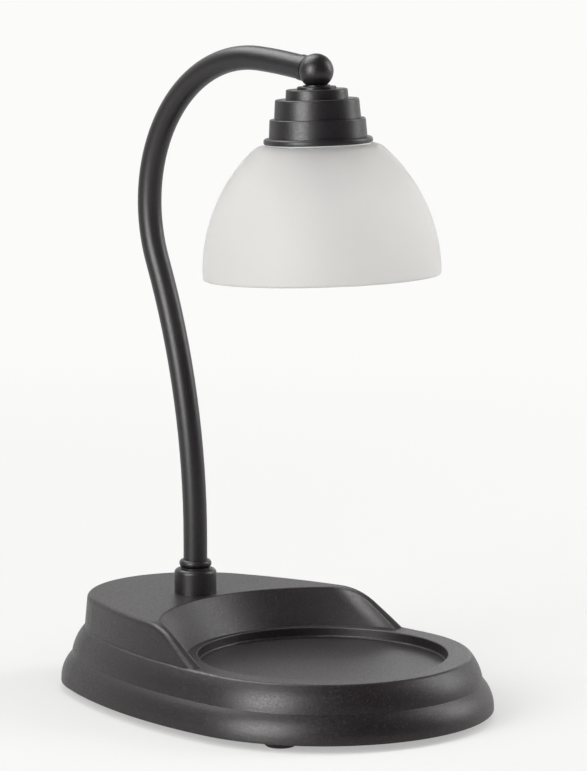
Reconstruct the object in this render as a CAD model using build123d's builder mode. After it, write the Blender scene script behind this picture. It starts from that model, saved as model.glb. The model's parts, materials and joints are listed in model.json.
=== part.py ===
from build123d import *
from math import asin, atan2, cos, degrees, hypot, radians, sin, sqrt, tan
import os

# Candle warmer lamp, in millimetres. The origin is on the table under the middle of the base.
# The candle stands towards -Y, the neck rises at +Y, and the left and right halves mirror at X = 0.

# Base outline: two end arcs and two wide side arcs, all tangent
front_arc_radius = 84.0
rear_arc_radius = 68.0
side_arc_radius = 275.0
arc_centre_distance = 92.0
candle_y = -38.0

# Base heights above the table
shell_bottom = 4.0
tier_one_start = 5.0
crease_height = 17.8
rim_height = 31.0
deck_height = 48.2

# How far the two rounded tiers lean in from the outline
crease_inset = 5.5
tier_two_middle_inset = 7.3
rim_inset = 11.6
rim_edge_radius = 2.0
deck_foot_inset = 12.0
deck_top_inset = 13.6
deck_edge_radius = 2.5

# Candle recess, and the scooped wall behind it
recess_radius = 61.3
recess_depth = 5.1
recess_edge_radius = 0.6
recess_floor_radius = 1.0
scoop_ledge = 3.0
scoop_centre_shift = 7.9
scoop_lean = 37.1
scoop_side_inset = 17.6
scoop_corner_radius = 14.0
scoop_edge_radius = 1.1
shoulder_slope = 32.2
shoulder_radius = 39.0
shoulder_foot_y = -22.9

# Base casting and its cover
shell_wall = 2.5
rebate_wall = 1.5
cover_thickness = 2.0
cover_recess = 0.5
cover_gap = 0.3
cover_screw_front_x = 44.0
cover_screw_front_y = -70.0
cover_screw_rear_x = 40.0
cover_screw_rear_y = 62.0
post_radius = 4.0
post_grip = 1.0

# Rubber feet
foot_x = 60.0
foot_front_y = -71.0
rear_foot_x = 37.0
rear_foot_y = 91.0
foot_radius = 9.3
foot_sole_radius = 6.6
foot_side_bulge = 0.9
foot_stem_radius = 2.9
foot_barb_radius = 4.2
foot_barb_height = 1.6

# Iron ballast under the recess
ballast_radius = 46.0
ballast_thickness = 6.0
ballast_gap_above = 3.0
ballast_screw_distance = 30.0

# Machine screws: thread radius, head radius, head height
m3_radius = 1.5
m3_head_radius = 2.8
m3_head_height = 1.6
m4_radius = 2.0
m4_head_radius = 3.8
m4_head_height = 2.4
screw_gap = 0.2
thread_gap = 0.05
slot_width = 0.8
slot_depth = 0.7
cover_screw_length = 9.0
block_screw_length = 17.0

# Cord inlet at the back
inlet_height = 24.5
inlet_face_inset = 10.7
inlet_bore_radius = 3.1
inlet_body_radius = 4.3
inlet_flange_radius = 5.2
inlet_flange_thickness = 1.3
inlet_wall = 4.0
inlet_boss_rim = 1.1
inlet_lip_radius = 4.9

# Terminal block and earth point inside the back of the base
block_width = 30.0
block_depth = 16.0
block_height = 13.0
block_x = -20.0
block_y = 80.0
block_drop = 9.7
pole_count = 3
pole_pitch = 9.0
pole_bore_radius = 1.7
pole_sleeve_radius = 2.4
pole_screw_radius = 1.2
pole_screw_head_radius = 1.9
pole_screw_head_height = 1.4
pole_screw_sink = 0.4
pole_screw_spread = 4.0
sleeve_sink = 1.0
block_corner_radius = 1.5
earth_x = 27.0
earth_y = 82.0
earth_boss_drop = 11.7
earth_tag_radius = 4.2
earth_tag_thickness = 0.8
earth_tail_length = 8.5
earth_tail_width = 3.0
earth_lead_y = 98.0

# Neck foot: collar on the deck, swivel and its stack of washers and nuts
collar_radius = 10.6
collar_top = 60.5
collar_shoulder = 2.2
collar_spigot_radius = 8.0
collar_spigot_depth = 2.0
bush_radius = 7.0
bush_flange_radius = 7.4
bush_flange_thickness = 0.6
neck_ring_radius = 8.1
neck_ring_height = 3.9
neck_ring_rounding = 1.8
stem_radius = 4.95
stem_bore_radius = 3.2
stem_bottom = 28.0
stem_reach_in_tube = 12.0
running_gap = 0.06
face_gap = 0.1
deck_boss_radius = 14.0
deck_boss_depth = 3.0
friction_washer_thickness = 1.0
stop_plate_thickness = 1.5
stop_plate_radius = 10.0
stop_lug_width = 6.0
stop_lug_reach = 21.0
stop_post_radius = 2.5
swing_limit = 60.0
swing_stop_margin = 0.5
spring_washer_thickness = 1.4
spring_washer_radius = 8.0
spring_washer_split = 1.0
stem_nut_width = 15.0
stem_nut_height = 4.0

# Neck line: up from the deck, leaning back, then over in one arch to the ball
tube_radius = 6.0
tube_wall = 1.0
neck_straight_top = 75.7
lean_radius = 362.9
lean_angle = 22.41
arch_radius = 76.5
arch_angle = 115.0
reach_radius = 304.0
reach_angle = 4.065
reach_straight = 19.0

# Ball elbow at the neck's end and the stem below it
ball_radius = 8.4
ball_cavity_radius = 5.0
elbow_spigot_length = 9.0
elbow_spigot_bore_radius = 3.4
ferrule_radius = 6.35
ferrule_start = 5.9
ferrule_length = 4.0
seat_gap = 0.05
spacer_radius = 6.5
spacer_top = 6.7
spacer_bottom = 7.35
head_washer_radius = 9.5
head_washer_thickness = 1.3
head_washer_edge_radius = 0.5
nipple_radius = 4.8
nipple_bore_radius = 2.8
nipple_top = 4.2
nipple_bottom = 16.45
head_tilt = 2.46

# Stepped cap, measured down the head's axis from the ball's middle
cap_wall = 1.2
cap_step_one_top_radius = 14.9
cap_step_one_radius = 15.2
cap_step_two_top = 13.35
cap_step_two_top_radius = 20.3
cap_step_two_radius = 21.0
cap_step_three_top = 22.75
cap_step_three_top_radius = 23.2
cap_step_three_radius = 23.8
cap_flange_top = 31.9
cap_flange_radius = 26.4
cap_flange_bottom = 34.75
cap_edge_radius = 0.7
cap_flange_edge_radius = 1.3

# Lampholder group inside the cap
bracket_thickness = 1.5
bracket_width = 12.0
bracket_leg_outside = 11.0
bracket_tab_reach = 15.5
bracket_tab_bottom = 19.95
holder_screw_distance = 12.7
holder_screw_radius = 1.25
holder_screw_head_radius = 2.2
holder_screw_head_height = 1.5
holder_screw_sink = 0.5
nipple_nut_width = 14.0
nipple_nut_height = 3.6
lock_washer_thickness = 1.0
skirt_thread_radius = 18.0
skirt_wall = 1.7
skirt_plate_thickness = 1.5
skirt_plate_bore_radius = 8.5
skirt_bottom = 45.45
holder_gap = 0.4
holder_bottom = 33.45
holder_lip_thickness = 2.5
contact_thickness = 1.5
contact_width = 4.0
contact_depth = 6.0
contact_gap = 0.2
core_hole_radius = 1.6

# Bulb with two pins and a 50 mm reflector
pin_distance = 5.0
pin_radius = 1.5
pin_head_radius = 2.5
pin_head_height = 1.8
pin_clearance = 0.3
bulb_twist = 30.0
bulb_base_radius = 12.4
bulb_base_length = 11.0
bulb_seat_gap = 0.2
bulb_neck_radius = 11.4
bulb_middle_radius = 20.0
bulb_rim_radius = 25.0
bulb_reflector_length = 34.0
bulb_lens_thickness = 2.0
bulb_lens_inset = 0.4
bulb_edge_radius = 1.0
bulb_glass_wall = 1.4
capsule_radius = 5.2
capsule_length = 22.0

# Glass shade: one turned arc, closed at the top round the fitter hole
gasket_thickness = 0.6
glass_thickness = 3.0
glass_arc_radius = 80.5
glass_top_radius = 29.5
glass_rim_radius = 57.7
glass_shoulder_radius = 8.0
glass_rim_down = 99.35
glass_hole_radius = 18.6
glass_rim_rounding = 1.2

# Ring nut that holds the shade
ring_nut_radius = 23.5
ring_nut_height = 5.0
ring_nut_notches = 12
ring_nut_notch_radius = 1.3
ring_nut_edge = 0.6
ring_thread_gap = 0.08

# Leads inside the lamp
lead_radius = 1.9
lead_low_point = 14.5
lead_bend_radius = 7.0
ball_bend_radius = 4.2
core_radius = 0.8
core_bend_radius = 3.0
lead_end_gap = 10.0

# Places that follow from the sizes above
neck_y = candle_y + arc_centre_distance
recess_floor = rim_height - recess_depth
cover_bottom = shell_bottom + cover_recess
cover_top = cover_bottom + cover_thickness
deck_underside = deck_height - shell_wall
recess_underside = recess_floor - shell_wall
boss_bottom = deck_underside - deck_boss_depth
friction_washer_bottom = boss_bottom - friction_washer_thickness
stop_plate_top = friction_washer_bottom - face_gap
stop_plate_bottom = stop_plate_top - stop_plate_thickness
spring_washer_bottom = stop_plate_bottom - spring_washer_thickness
stem_nut_bottom = spring_washer_bottom - stem_nut_height
lock_nut_bottom = stem_nut_bottom - stem_nut_height
collar_bottom = deck_height - collar_spigot_depth
bush_top = collar_top + bush_flange_thickness
neck_ring_bottom = bush_top + face_gap
tube_bottom = neck_ring_bottom + 1.0
tube_bore_radius = tube_radius - tube_wall
neck_axis = Axis((0, neck_y, 0), (0, 0, 1))
neck_section = Plane(origin=(0, neck_y, 0), x_dir=(1, 0, 0), z_dir=(0, -1, 0))
STAND_UP = (Align.CENTER, Align.CENTER, Align.MIN)
scoop_foot_radius = recess_radius + scoop_ledge + scoop_centre_shift
scoop_centre_y = candle_y - scoop_centre_shift
CURVED = (GeomType.CIRCLE, GeomType.ELLIPSE, GeomType.BSPLINE)

# Side arcs' centres, from the tangency with both end arcs
side_to_front = side_arc_radius - front_arc_radius
side_to_rear = side_arc_radius - rear_arc_radius
side_centre_up = (side_to_front**2 - side_to_rear**2 + arc_centre_distance**2) / (2 * arc_centre_distance)
side_centre_in = sqrt(side_to_front**2 - side_centre_up**2)
side_front_angle = atan2(-side_centre_up, side_centre_in)
side_rear_angle = atan2(arc_centre_distance - side_centre_up, side_centre_in)
side_middle_angle = (side_front_angle + side_rear_angle) / 2


def outline_points(inset):
    """Tangent points and the side arc's middle, on the outline's right half, moved in by inset."""
    front = front_arc_radius - inset
    rear = rear_arc_radius - inset
    side = side_arc_radius - inset
    front_x = front * side_centre_in / side_to_front
    front_y = candle_y - front * side_centre_up / side_to_front
    rear_x = rear * side_centre_in / side_to_rear
    rear_y = neck_y + rear * (arc_centre_distance - side_centre_up) / side_to_rear
    side_x = side * cos(side_middle_angle) - side_centre_in
    side_y = side * sin(side_middle_angle) + candle_y + side_centre_up
    return (front_x, front_y), (side_x, side_y), (rear_x, rear_y)


def outline(inset):
    """Face of the base outline, moved in by inset."""
    front_tangent, side_middle, rear_tangent = outline_points(inset)
    front_tip = (0, candle_y - front_arc_radius + inset)
    rear_tip = (0, neck_y + rear_arc_radius - inset)
    with BuildSketch() as face:
        with BuildLine():
            ThreePointArc((-front_tangent[0], front_tangent[1]), front_tip, front_tangent)
            ThreePointArc(front_tangent, side_middle, rear_tangent)
            ThreePointArc(rear_tangent, rear_tip, (-rear_tangent[0], rear_tangent[1]))
            ThreePointArc(
                (-rear_tangent[0], rear_tangent[1]),
                (-side_middle[0], side_middle[1]),
                (-front_tangent[0], front_tangent[1]),
            )
        make_face()
    return face.sketch


def tiers(shrink, bottom):
    """Both rounded tiers as one solid, with every side moved in by shrink."""
    with BuildPart() as form:
        with BuildLine() as path:
            front_tangent, side_middle, rear_tangent = outline_points(0)
            left_front = (-front_tangent[0], front_tangent[1])
            left_rear = (-rear_tangent[0], rear_tangent[1])
            ThreePointArc(front_tangent, side_middle, rear_tangent)
            ThreePointArc(rear_tangent, (0, neck_y + rear_arc_radius), left_rear)
            ThreePointArc(left_rear, (-side_middle[0], side_middle[1]), left_front)
            ThreePointArc(left_front, (0, candle_y - front_arc_radius), front_tangent)
        start = path.line @ 0
        heading = path.line % 0
        section = Plane(origin=start, x_dir=Vector(0, 0, 1).cross(heading), z_dir=heading)
        middle_height = (crease_height + rim_height) / 2
        sweep_depth = rim_inset + 12
        with BuildSketch(section) as profile:
            with BuildLine():
                Line((shrink, bottom), (shrink, tier_one_start))
                lean = atan2(crease_inset, crease_height - tier_one_start)
                chord = crease_inset / sin(lean)
                tier_one_radius = chord / (2 * sin(lean))
                crease = (crease_inset + shrink, crease_height - shrink * 0.3)
                ThreePointArc(
                    (shrink, tier_one_start),
                    (
                        tier_one_radius - (tier_one_radius - shrink) * cos(lean),
                        tier_one_start + (tier_one_radius - shrink) * sin(lean),
                    ),
                    crease,
                )
                ThreePointArc(
                    crease,
                    (tier_two_middle_inset + shrink * 0.95, middle_height - shrink * 0.3),
                    (rim_inset + shrink * 0.8, rim_height - shrink),
                )
                Polyline(
                    (rim_inset + shrink * 0.8, rim_height - shrink),
                    (sweep_depth, rim_height - shrink),
                    (sweep_depth, bottom),
                    (shrink, bottom),
                )
            make_face()
            if shrink == 0:
                rim_corner = profile.vertices().sort_by_distance((rim_inset, rim_height))[0]
                fillet(rim_corner, rim_edge_radius)
        sweep(path=path.line)
        with BuildSketch(Plane.XY.offset(bottom)):
            add(outline(sweep_depth - 1))
        extrude(amount=rim_height - shrink - bottom)
    return form.part


def scoop(grow, bottom, top):
    """Space in front of the deck's curved back wall, made wider by grow."""
    spread = tan(radians(scoop_lean))
    radius_at_rim = scoop_foot_radius + grow / cos(radians(scoop_lean))
    bottom_radius = radius_at_rim + (bottom - rim_height) * spread
    top_radius = radius_at_rim + (top - rim_height) * spread
    with BuildPart() as space:
        with Locations((0, scoop_centre_y, bottom)):
            Cone(bottom_radius, top_radius, top - bottom, align=(Align.CENTER, Align.CENTER, Align.MIN))
        with BuildSketch(Plane.XY.offset(bottom)):
            side_radius = side_arc_radius - scoop_side_inset + grow
            side_centre_y = candle_y + side_centre_up
            with Locations((side_centre_in, side_centre_y)):
                Circle(side_radius)
            with Locations((-side_centre_in, side_centre_y)):
                Circle(side_radius, mode=Mode.INTERSECT)
        extrude(amount=top - bottom, mode=Mode.INTERSECT)
        if grow == 0:
            creases = space.edges().filter_by(GeomType.BSPLINE)
            fillet(creases, scoop_corner_radius)
    return space.part


def deck(shrink):
    """Raised back of the base, with sloping shoulders and a scooped front, moved in by shrink."""
    bottom = rim_height - shell_wall / 2 - shrink
    top = deck_height - shrink
    draft = (deck_top_inset - deck_foot_inset) / (deck_height - rim_height)
    slope = radians(shoulder_slope)
    arc_drop = shoulder_radius * (1 - cos(slope))
    arc_run = shoulder_radius * sin(slope)
    slope_run = (deck_height - arc_drop - rim_height) / tan(slope)
    arc_start_y = shoulder_foot_y + slope_run + arc_run
    profile_bottom = bottom - shell_wall
    buried_run = (rim_height - shrink - profile_bottom) / tan(slope)
    far_back = neck_y + 2 * rear_arc_radius
    half_width = side_arc_radius
    with BuildPart() as form:
        with BuildSketch(Plane.XY.offset(bottom)):
            add(outline(deck_foot_inset + shrink - (rim_height - bottom) * draft))
        extrude(amount=deck_height - bottom, taper=degrees(atan2(draft, 1)))
        with BuildSketch(Plane.YZ.offset(-half_width)):
            with BuildLine():
                level = Line((far_back, top), (arc_start_y, top))
                bend = JernArc(level @ 1, level % 1, shoulder_radius, shoulder_slope)
                foot = (shoulder_foot_y - buried_run, profile_bottom)
                Line(bend @ 1, foot)
                Polyline(foot, (far_back, profile_bottom), (far_back, top))
            make_face()
        extrude(amount=2 * half_width, mode=Mode.INTERSECT)
        if shrink == 0:
            curved = form.edges().filter_by(lambda edge: edge.geom_type in CURVED)
            fillet(curved.filter_by(lambda edge: edge.center().Z > rim_height), deck_edge_radius)
        add(scoop(shrink, bottom - 0.5, 2 * deck_height - rim_height), mode=Mode.SUBTRACT)
        if shrink == 0:
            crest = form.faces().filter_by(lambda face: face.normal_at().Z > 0.8)
            scoop_edges = form.edges(Select.LAST) & crest.edges()
            fillet(scoop_edges.filter_by(lambda edge: edge.geom_type in CURVED), scoop_edge_radius)
    return form.part


def cavity():
    """Hollow inside of the base casting, open at the bottom with a step for the cover."""
    with BuildPart() as space:
        add(tiers(shell_wall, shell_bottom - 1))
        add(deck(shell_wall))
        with Locations((0, candle_y, recess_underside)):
            Cylinder(recess_radius + shell_wall, rim_height, align=STAND_UP, mode=Mode.SUBTRACT)
        with BuildSketch(inlet_plane):
            Circle(inlet_flange_radius + inlet_boss_rim)
        extrude(amount=inlet_face_inset + inlet_wall, mode=Mode.SUBTRACT)
        with BuildSketch(Plane.XY.offset(shell_bottom - 1)):
            add(outline(rebate_wall))
        extrude(amount=cover_top - shell_bottom + 1)
    return space.part


def mirrored(x, y):
    """The same point on the right and on the left."""
    return [(x, y), (-x, y)]


def hex_radius(width):
    """Corner radius of a hexagon from its width across flats."""
    return width / sqrt(3)


def turned(section, axis, corners, rounded=(), rounding=0.0):
    """Ring or disc turned about an axis from its corner points, with some corners rounded."""
    with BuildPart() as form:
        with BuildSketch(section) as profile:
            with BuildLine():
                Polyline(*corners, close=True)
            make_face()
            for corner in rounded:
                radius = corner[2] if len(corner) > 2 else rounding
                fillet(profile.vertices().sort_by_distance(corner[:2])[0], radius)
        revolve(axis=axis)
    return form.part


def neck_turned(corners, rounded=(), rounding=0.0):
    """Part turned about the neck's upright axis; corners are (radius, height above the table)."""
    return turned(neck_section, neck_axis, corners, rounded, rounding)


def head_turned(corners, rounded=(), rounding=0.0):
    """Part turned about the head's axis; corners are (radius, distance below the ball's middle)."""
    section_corners = [(radius, -down) for radius, down in corners]
    section_rounded = [(corner[0], -corner[1], *corner[2:]) for corner in rounded]
    return turned(head_section, head_axis, section_corners, section_rounded, rounding)


def neck_ring_part(inner, outer, bottom, height):
    """Plain ring about the neck's upright axis."""
    top = bottom + height
    return neck_turned([(inner, bottom), (outer, bottom), (outer, top), (inner, top)])


def head_ring_part(inner, outer, top, height):
    """Plain ring about the head's axis, measured down from the ball's middle."""
    bottom = top + height
    return head_turned([(inner, top), (outer, top), (outer, bottom), (inner, bottom)])


def hex_nut(plane, width, height, bore):
    """Hexagon nut standing on a plane."""
    with BuildPart() as form:
        with BuildSketch(plane):
            RegularPolygon(hex_radius(width), 6)
            Circle(bore, mode=Mode.SUBTRACT)
        extrude(amount=height)
    return form.part


def screws(plane, places, radius, length, head_radius, head_height):
    """Slotted screws going along the plane's normal, with their heads behind the plane."""
    with BuildPart() as form:
        with BuildSketch(plane):
            with Locations(*places):
                Circle(radius)
        extrude(amount=length)
        with BuildSketch(plane):
            with Locations(*places):
                Circle(head_radius)
        extrude(amount=-head_height)
        with BuildSketch(plane.offset(-head_height)):
            with Locations(*places):
                Rectangle(2 * head_radius + 1, slot_width)
        extrude(amount=slot_depth, mode=Mode.SUBTRACT)
    return form.part


def round_lead(points, radius, bend):
    """Lead with round bends through the given points."""
    with BuildPart() as form:
        with BuildLine() as path:
            FilletPolyline(*points, radius=bend)
        with BuildSketch(Plane(origin=path.line @ 0, z_dir=path.line % 0)):
            Circle(radius)
        sweep(path=path.line)
    return form.part


def neck_line(bottom, cut_short, turn_down=False):
    """Neck's centre line from a height above the table to a little before the ball's middle."""
    with BuildLine(Plane.YZ) as path:
        upright = Line((neck_y, bottom), (neck_y, neck_straight_top))
        lean = JernArc(upright @ 1, upright % 1, lean_radius, -lean_angle)
        arch = JernArc(lean @ 1, lean % 1, arch_radius, arch_angle)
        reach = JernArc(arch @ 1, arch % 1, reach_radius, reach_angle)
        end = Line(reach @ 1, (reach @ 1) + (reach % 1) * (reach_straight - cut_short))
        if turn_down:
            elbow = JernArc(end @ 1, end % 1, ball_bend_radius, ball_bend_angle)
            Line(elbow @ 1, (elbow @ 1) + (elbow % 1) * (nipple_bottom - cut_short))
    return path.line


def arc_slot(radius, half_width, start_angle, sweep_angle):
    """Face of a slot that follows an arc round the origin and has round ends."""
    end_angle = start_angle + sweep_angle
    with BuildSketch() as slot:
        with BuildLine():
            inner = CenterArc((0, 0), radius - half_width, start_angle, sweep_angle)
            outer = CenterArc((0, 0), radius + half_width, start_angle, sweep_angle)
            Line(inner @ 0, outer @ 0)
            Line(inner @ 1, outer @ 1)
        make_face()
        for angle in (start_angle, end_angle):
            with Locations((radius * cos(radians(angle)), radius * sin(radians(angle)))):
                Circle(half_width)
    return slot.sketch


def head_plane(down):
    """Plane across the head's axis that faces down, at a distance below the ball's middle."""
    return Plane(origin=ball_centre + head_down * down, x_dir=(1, 0, 0), z_dir=head_down)


cover_screw_places = mirrored(cover_screw_front_x, cover_screw_front_y)
cover_screw_places += mirrored(cover_screw_rear_x, cover_screw_rear_y)
foot_places = mirrored(foot_x, foot_front_y) + mirrored(rear_foot_x, rear_foot_y)
ballast_screw_places = [
    (
        ballast_screw_distance * cos(radians(angle)),
        candle_y + ballast_screw_distance * sin(radians(angle)),
    )
    for angle in (90, 210, 330)
]
ballast_top = recess_underside - ballast_gap_above
ballast_bottom = ballast_top - ballast_thickness
block_top = deck_underside - block_drop
block_bottom = block_top - block_height
earth_boss_bottom = deck_underside - earth_boss_drop
block_screw_x = block_x + pole_pitch / 2
pole_height = block_bottom + block_height / 2
pole_xs = [block_x + pole_pitch * (number - (pole_count - 1) / 2) for number in range(pole_count)]
stop_distance = stop_lug_reach - stop_post_radius
stop_angle = swing_limit + degrees(asin((stop_lug_width / 2 + stop_post_radius) / stop_distance))
stop_angle += swing_stop_margin
stop_post_places = mirrored(
    stop_distance * sin(radians(stop_angle)), neck_y + stop_distance * cos(radians(stop_angle))
)
inlet_face_y = neck_y + rear_arc_radius - inlet_face_inset
inlet_inner_y = inlet_face_y - inlet_wall
inlet_plane = Plane(origin=(0, inlet_inner_y, inlet_height), x_dir=(1, 0, 0), z_dir=(0, 1, 0))

# Neck's end and the head's axis
ball_centre = neck_line(tube_bottom, 0) @ 1
reach_heading = radians(90 - lean_angle + arch_angle + reach_angle)
ball_bend_angle = 270 - head_tilt - degrees(reach_heading)
ball_bend_setback = ball_bend_radius * tan(radians(ball_bend_angle) / 2)
head_down = Vector(0, -sin(radians(head_tilt)), -cos(radians(head_tilt)))
head_axis = Axis(ball_centre, -head_down)
head_section = Plane(
    origin=ball_centre,
    x_dir=(1, 0, 0),
    z_dir=(0, -cos(radians(head_tilt)), sin(radians(head_tilt))),
)
elbow_plane = Plane(
    origin=ball_centre,
    x_dir=(1, 0, 0),
    z_dir=(0, -cos(reach_heading), -sin(reach_heading)),
)
tube_end = sqrt(ball_radius**2 - tube_bore_radius**2) + seat_gap

# Heights of the stack inside the head
nipple_hole_radius = nipple_radius + seat_gap
cap_top = spacer_bottom + head_washer_thickness
bracket_top = cap_top + cap_wall
lock_washer_top = bracket_top + bracket_thickness
nipple_nut_top = lock_washer_top + lock_washer_thickness
holder_top = bracket_tab_bottom + skirt_plate_thickness
skirt_bore_radius = skirt_thread_radius - skirt_wall
holder_radius = skirt_bore_radius - holder_gap
chamber_bottom = holder_bottom - holder_lip_thickness
pin_head_bottom = chamber_bottom - pin_clearance
pin_head_top = pin_head_bottom - pin_head_height
contact_bottom = pin_head_top - contact_gap
contact_top = contact_bottom - contact_thickness
bulb_top = holder_bottom + bulb_seat_gap
reflector_top = bulb_top + bulb_base_length
reflector_bottom = reflector_top + bulb_reflector_length
glass_top = cap_flange_bottom + gasket_thickness
glass_underside = glass_top + glass_thickness
ring_nut_top = glass_underside + gasket_thickness + face_gap

# Centre of the shade's arc, from its two ends and its radius
glass_chord_out = glass_rim_radius - glass_top_radius
glass_chord_down = glass_rim_down - glass_top
glass_chord = hypot(glass_chord_out, glass_chord_down)
glass_centre_reach = sqrt(glass_arc_radius**2 - (glass_chord / 2) ** 2) / glass_chord
glass_centre_out = (glass_rim_radius + glass_top_radius) / 2 - glass_centre_reach * glass_chord_down
glass_centre_down = (glass_rim_down + glass_top) / 2 + glass_centre_reach * glass_chord_out

os.makedirs("parts", exist_ok=True)

# Base casting
with BuildPart() as base_shell:
    add(tiers(0, shell_bottom))
    add(deck(0))
    with Locations((0, candle_y, recess_floor)):
        Cylinder(recess_radius, recess_depth + 1, align=STAND_UP, mode=Mode.SUBTRACT)
    recess_edges = base_shell.edges().filter_by(GeomType.CIRCLE)
    recess_edges = recess_edges.filter_by(lambda edge: abs(edge.radius - recess_radius) < 0.01)
    fillet(recess_edges.sort_by(Axis.Z)[-1], recess_edge_radius)
    fillet(recess_edges.sort_by(Axis.Z)[0], recess_floor_radius)
    add(cavity(), mode=Mode.SUBTRACT)
    # Screw posts for the cover, reaching up into the casting
    with BuildSketch(Plane.XY.offset(cover_top)):
        with Locations(*cover_screw_places[:2]):
            Circle(post_radius)
    extrude(amount=recess_underside + post_grip - cover_top)
    with BuildSketch(Plane.XY.offset(cover_top)):
        with Locations(*cover_screw_places[2:]):
            Circle(post_radius)
    extrude(amount=deck_underside + post_grip - cover_top)
    # Short posts that carry the ballast
    with BuildSketch(Plane.XY.offset(ballast_top)):
        with Locations(*ballast_screw_places):
            Circle(post_radius)
    extrude(amount=ballast_gap_above + post_grip)
    # Posts for the terminal block and the earth point, and the two swing stops
    with BuildSketch(Plane.XY.offset(block_top)):
        with Locations((block_screw_x, block_y)):
            Circle(post_radius)
    extrude(amount=deck_underside + post_grip - block_top)
    with BuildSketch(Plane.XY.offset(earth_boss_bottom)):
        with Locations((earth_x, earth_y)):
            Circle(post_radius)
    extrude(amount=deck_underside + post_grip - earth_boss_bottom)
    with BuildSketch(Plane.XY.offset(stop_plate_bottom - 1)):
        with Locations(*stop_post_places):
            Circle(stop_post_radius)
    extrude(amount=deck_underside + post_grip - stop_plate_bottom + 1)
    # Thick boss under the neck
    with BuildSketch(Plane.XY.offset(boss_bottom)):
        with Locations((0, neck_y)):
            Circle(deck_boss_radius)
    extrude(amount=deck_boss_depth + post_grip)
    # Neck hole with its seat for the collar
    with Locations((0, neck_y, boss_bottom)):
        Cylinder(stem_radius + 0.5, deck_height, align=STAND_UP, mode=Mode.SUBTRACT)
    with Locations((0, neck_y, collar_bottom)):
        Cylinder(collar_spigot_radius + seat_gap, deck_height, align=STAND_UP, mode=Mode.SUBTRACT)
    # Cord inlet: sunk round face outside and the hole through the boss behind it
    with BuildSketch(inlet_plane.offset(inlet_wall)):
        Circle(inlet_flange_radius + screw_gap)
    extrude(amount=inlet_face_inset, mode=Mode.SUBTRACT)
    with BuildSketch(inlet_plane.offset(-inlet_wall)):
        Circle(inlet_body_radius + seat_gap)
    extrude(amount=3 * inlet_wall, mode=Mode.SUBTRACT)
    # Threaded holes
    with BuildSketch(Plane.XY.offset(cover_top)):
        with Locations(*cover_screw_places):
            Circle(m3_radius + thread_gap)
    extrude(amount=cover_screw_length, mode=Mode.SUBTRACT)
    with BuildSketch(Plane.XY.offset(ballast_top)):
        with Locations(*ballast_screw_places):
            Circle(m4_radius + thread_gap)
    extrude(amount=ballast_gap_above, mode=Mode.SUBTRACT)
    with BuildSketch(Plane.XY.offset(block_top)):
        with Locations((block_screw_x, block_y)):
            Circle(m3_radius + thread_gap)
    extrude(amount=block_screw_length - block_height + 0.5, mode=Mode.SUBTRACT)
    with BuildSketch(Plane.XY.offset(earth_boss_bottom)):
        with Locations((earth_x, earth_y)):
            Circle(m4_radius + thread_gap)
    extrude(amount=cover_screw_length, mode=Mode.SUBTRACT)
base_shell.part.label = "base_shell"
export_step(base_shell.part, "parts/base_shell.step")

# Flat cover that closes the base from below
with BuildPart() as bottom_cover:
    with BuildSketch(Plane.XY.offset(cover_bottom)):
        add(outline(rebate_wall + cover_gap))
        with Locations(*cover_screw_places):
            Circle(m3_radius + screw_gap, mode=Mode.SUBTRACT)
        with Locations(*foot_places):
            Circle(foot_stem_radius + seat_gap, mode=Mode.SUBTRACT)
    extrude(amount=cover_thickness)
bottom_cover.part.label = "bottom_cover"
export_step(bottom_cover.part, "parts/bottom_cover.step")

# Four screws that hold the cover
with BuildPart() as cover_screws:
    add(
        screws(
            Plane.XY.offset(cover_bottom),
            cover_screw_places,
            m3_radius,
            cover_screw_length,
            m3_head_radius,
            m3_head_height,
        )
    )
cover_screws.part.label = "cover_screws"
export_step(cover_screws.part, "parts/cover_screws.step")

# Four rubber feet, snapped through the cover
with BuildPart() as feet:
    with BuildSketch(Plane.XZ) as foot_profile:
        with BuildLine():
            sole = Line((0, 0), (foot_sole_radius, 0))
            foot_side = (foot_radius - foot_side_bulge, cover_bottom / 3)
            ThreePointArc(sole @ 1, foot_side, (foot_radius, cover_bottom))
            Polyline(
                (foot_radius, cover_bottom),
                (foot_stem_radius, cover_bottom),
                (foot_stem_radius, cover_top),
                (foot_barb_radius, cover_top),
                (foot_stem_radius, cover_top + foot_barb_height),
                (0, cover_top + foot_barb_height),
                (0, 0),
            )
        make_face()
    revolve(axis=Axis.Z)
    foot = feet.part
    with Locations(*foot_places):
        add(foot)
    add(foot, mode=Mode.SUBTRACT)
feet.part.label = "feet"
export_step(feet.part, "parts/feet.step")

# Iron plate that keeps the lamp from tipping
with BuildPart() as ballast_plate:
    with BuildSketch(Plane.XY.offset(ballast_bottom)):
        with Locations((0, candle_y)):
            Circle(ballast_radius)
        with Locations(*ballast_screw_places):
            Circle(m4_radius + screw_gap, mode=Mode.SUBTRACT)
    extrude(amount=ballast_thickness)
ballast_plate.part.label = "ballast_plate"
export_step(ballast_plate.part, "parts/ballast_plate.step")

# Three screws that hold the ballast
with BuildPart() as ballast_screws:
    add(
        screws(
            Plane.XY.offset(ballast_bottom),
            ballast_screw_places,
            m4_radius,
            ballast_thickness + ballast_gap_above - screw_gap,
            m4_head_radius,
            m4_head_height,
        )
    )
ballast_screws.part.label = "ballast_screws"
export_step(ballast_screws.part, "parts/ballast_screws.step")

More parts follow.
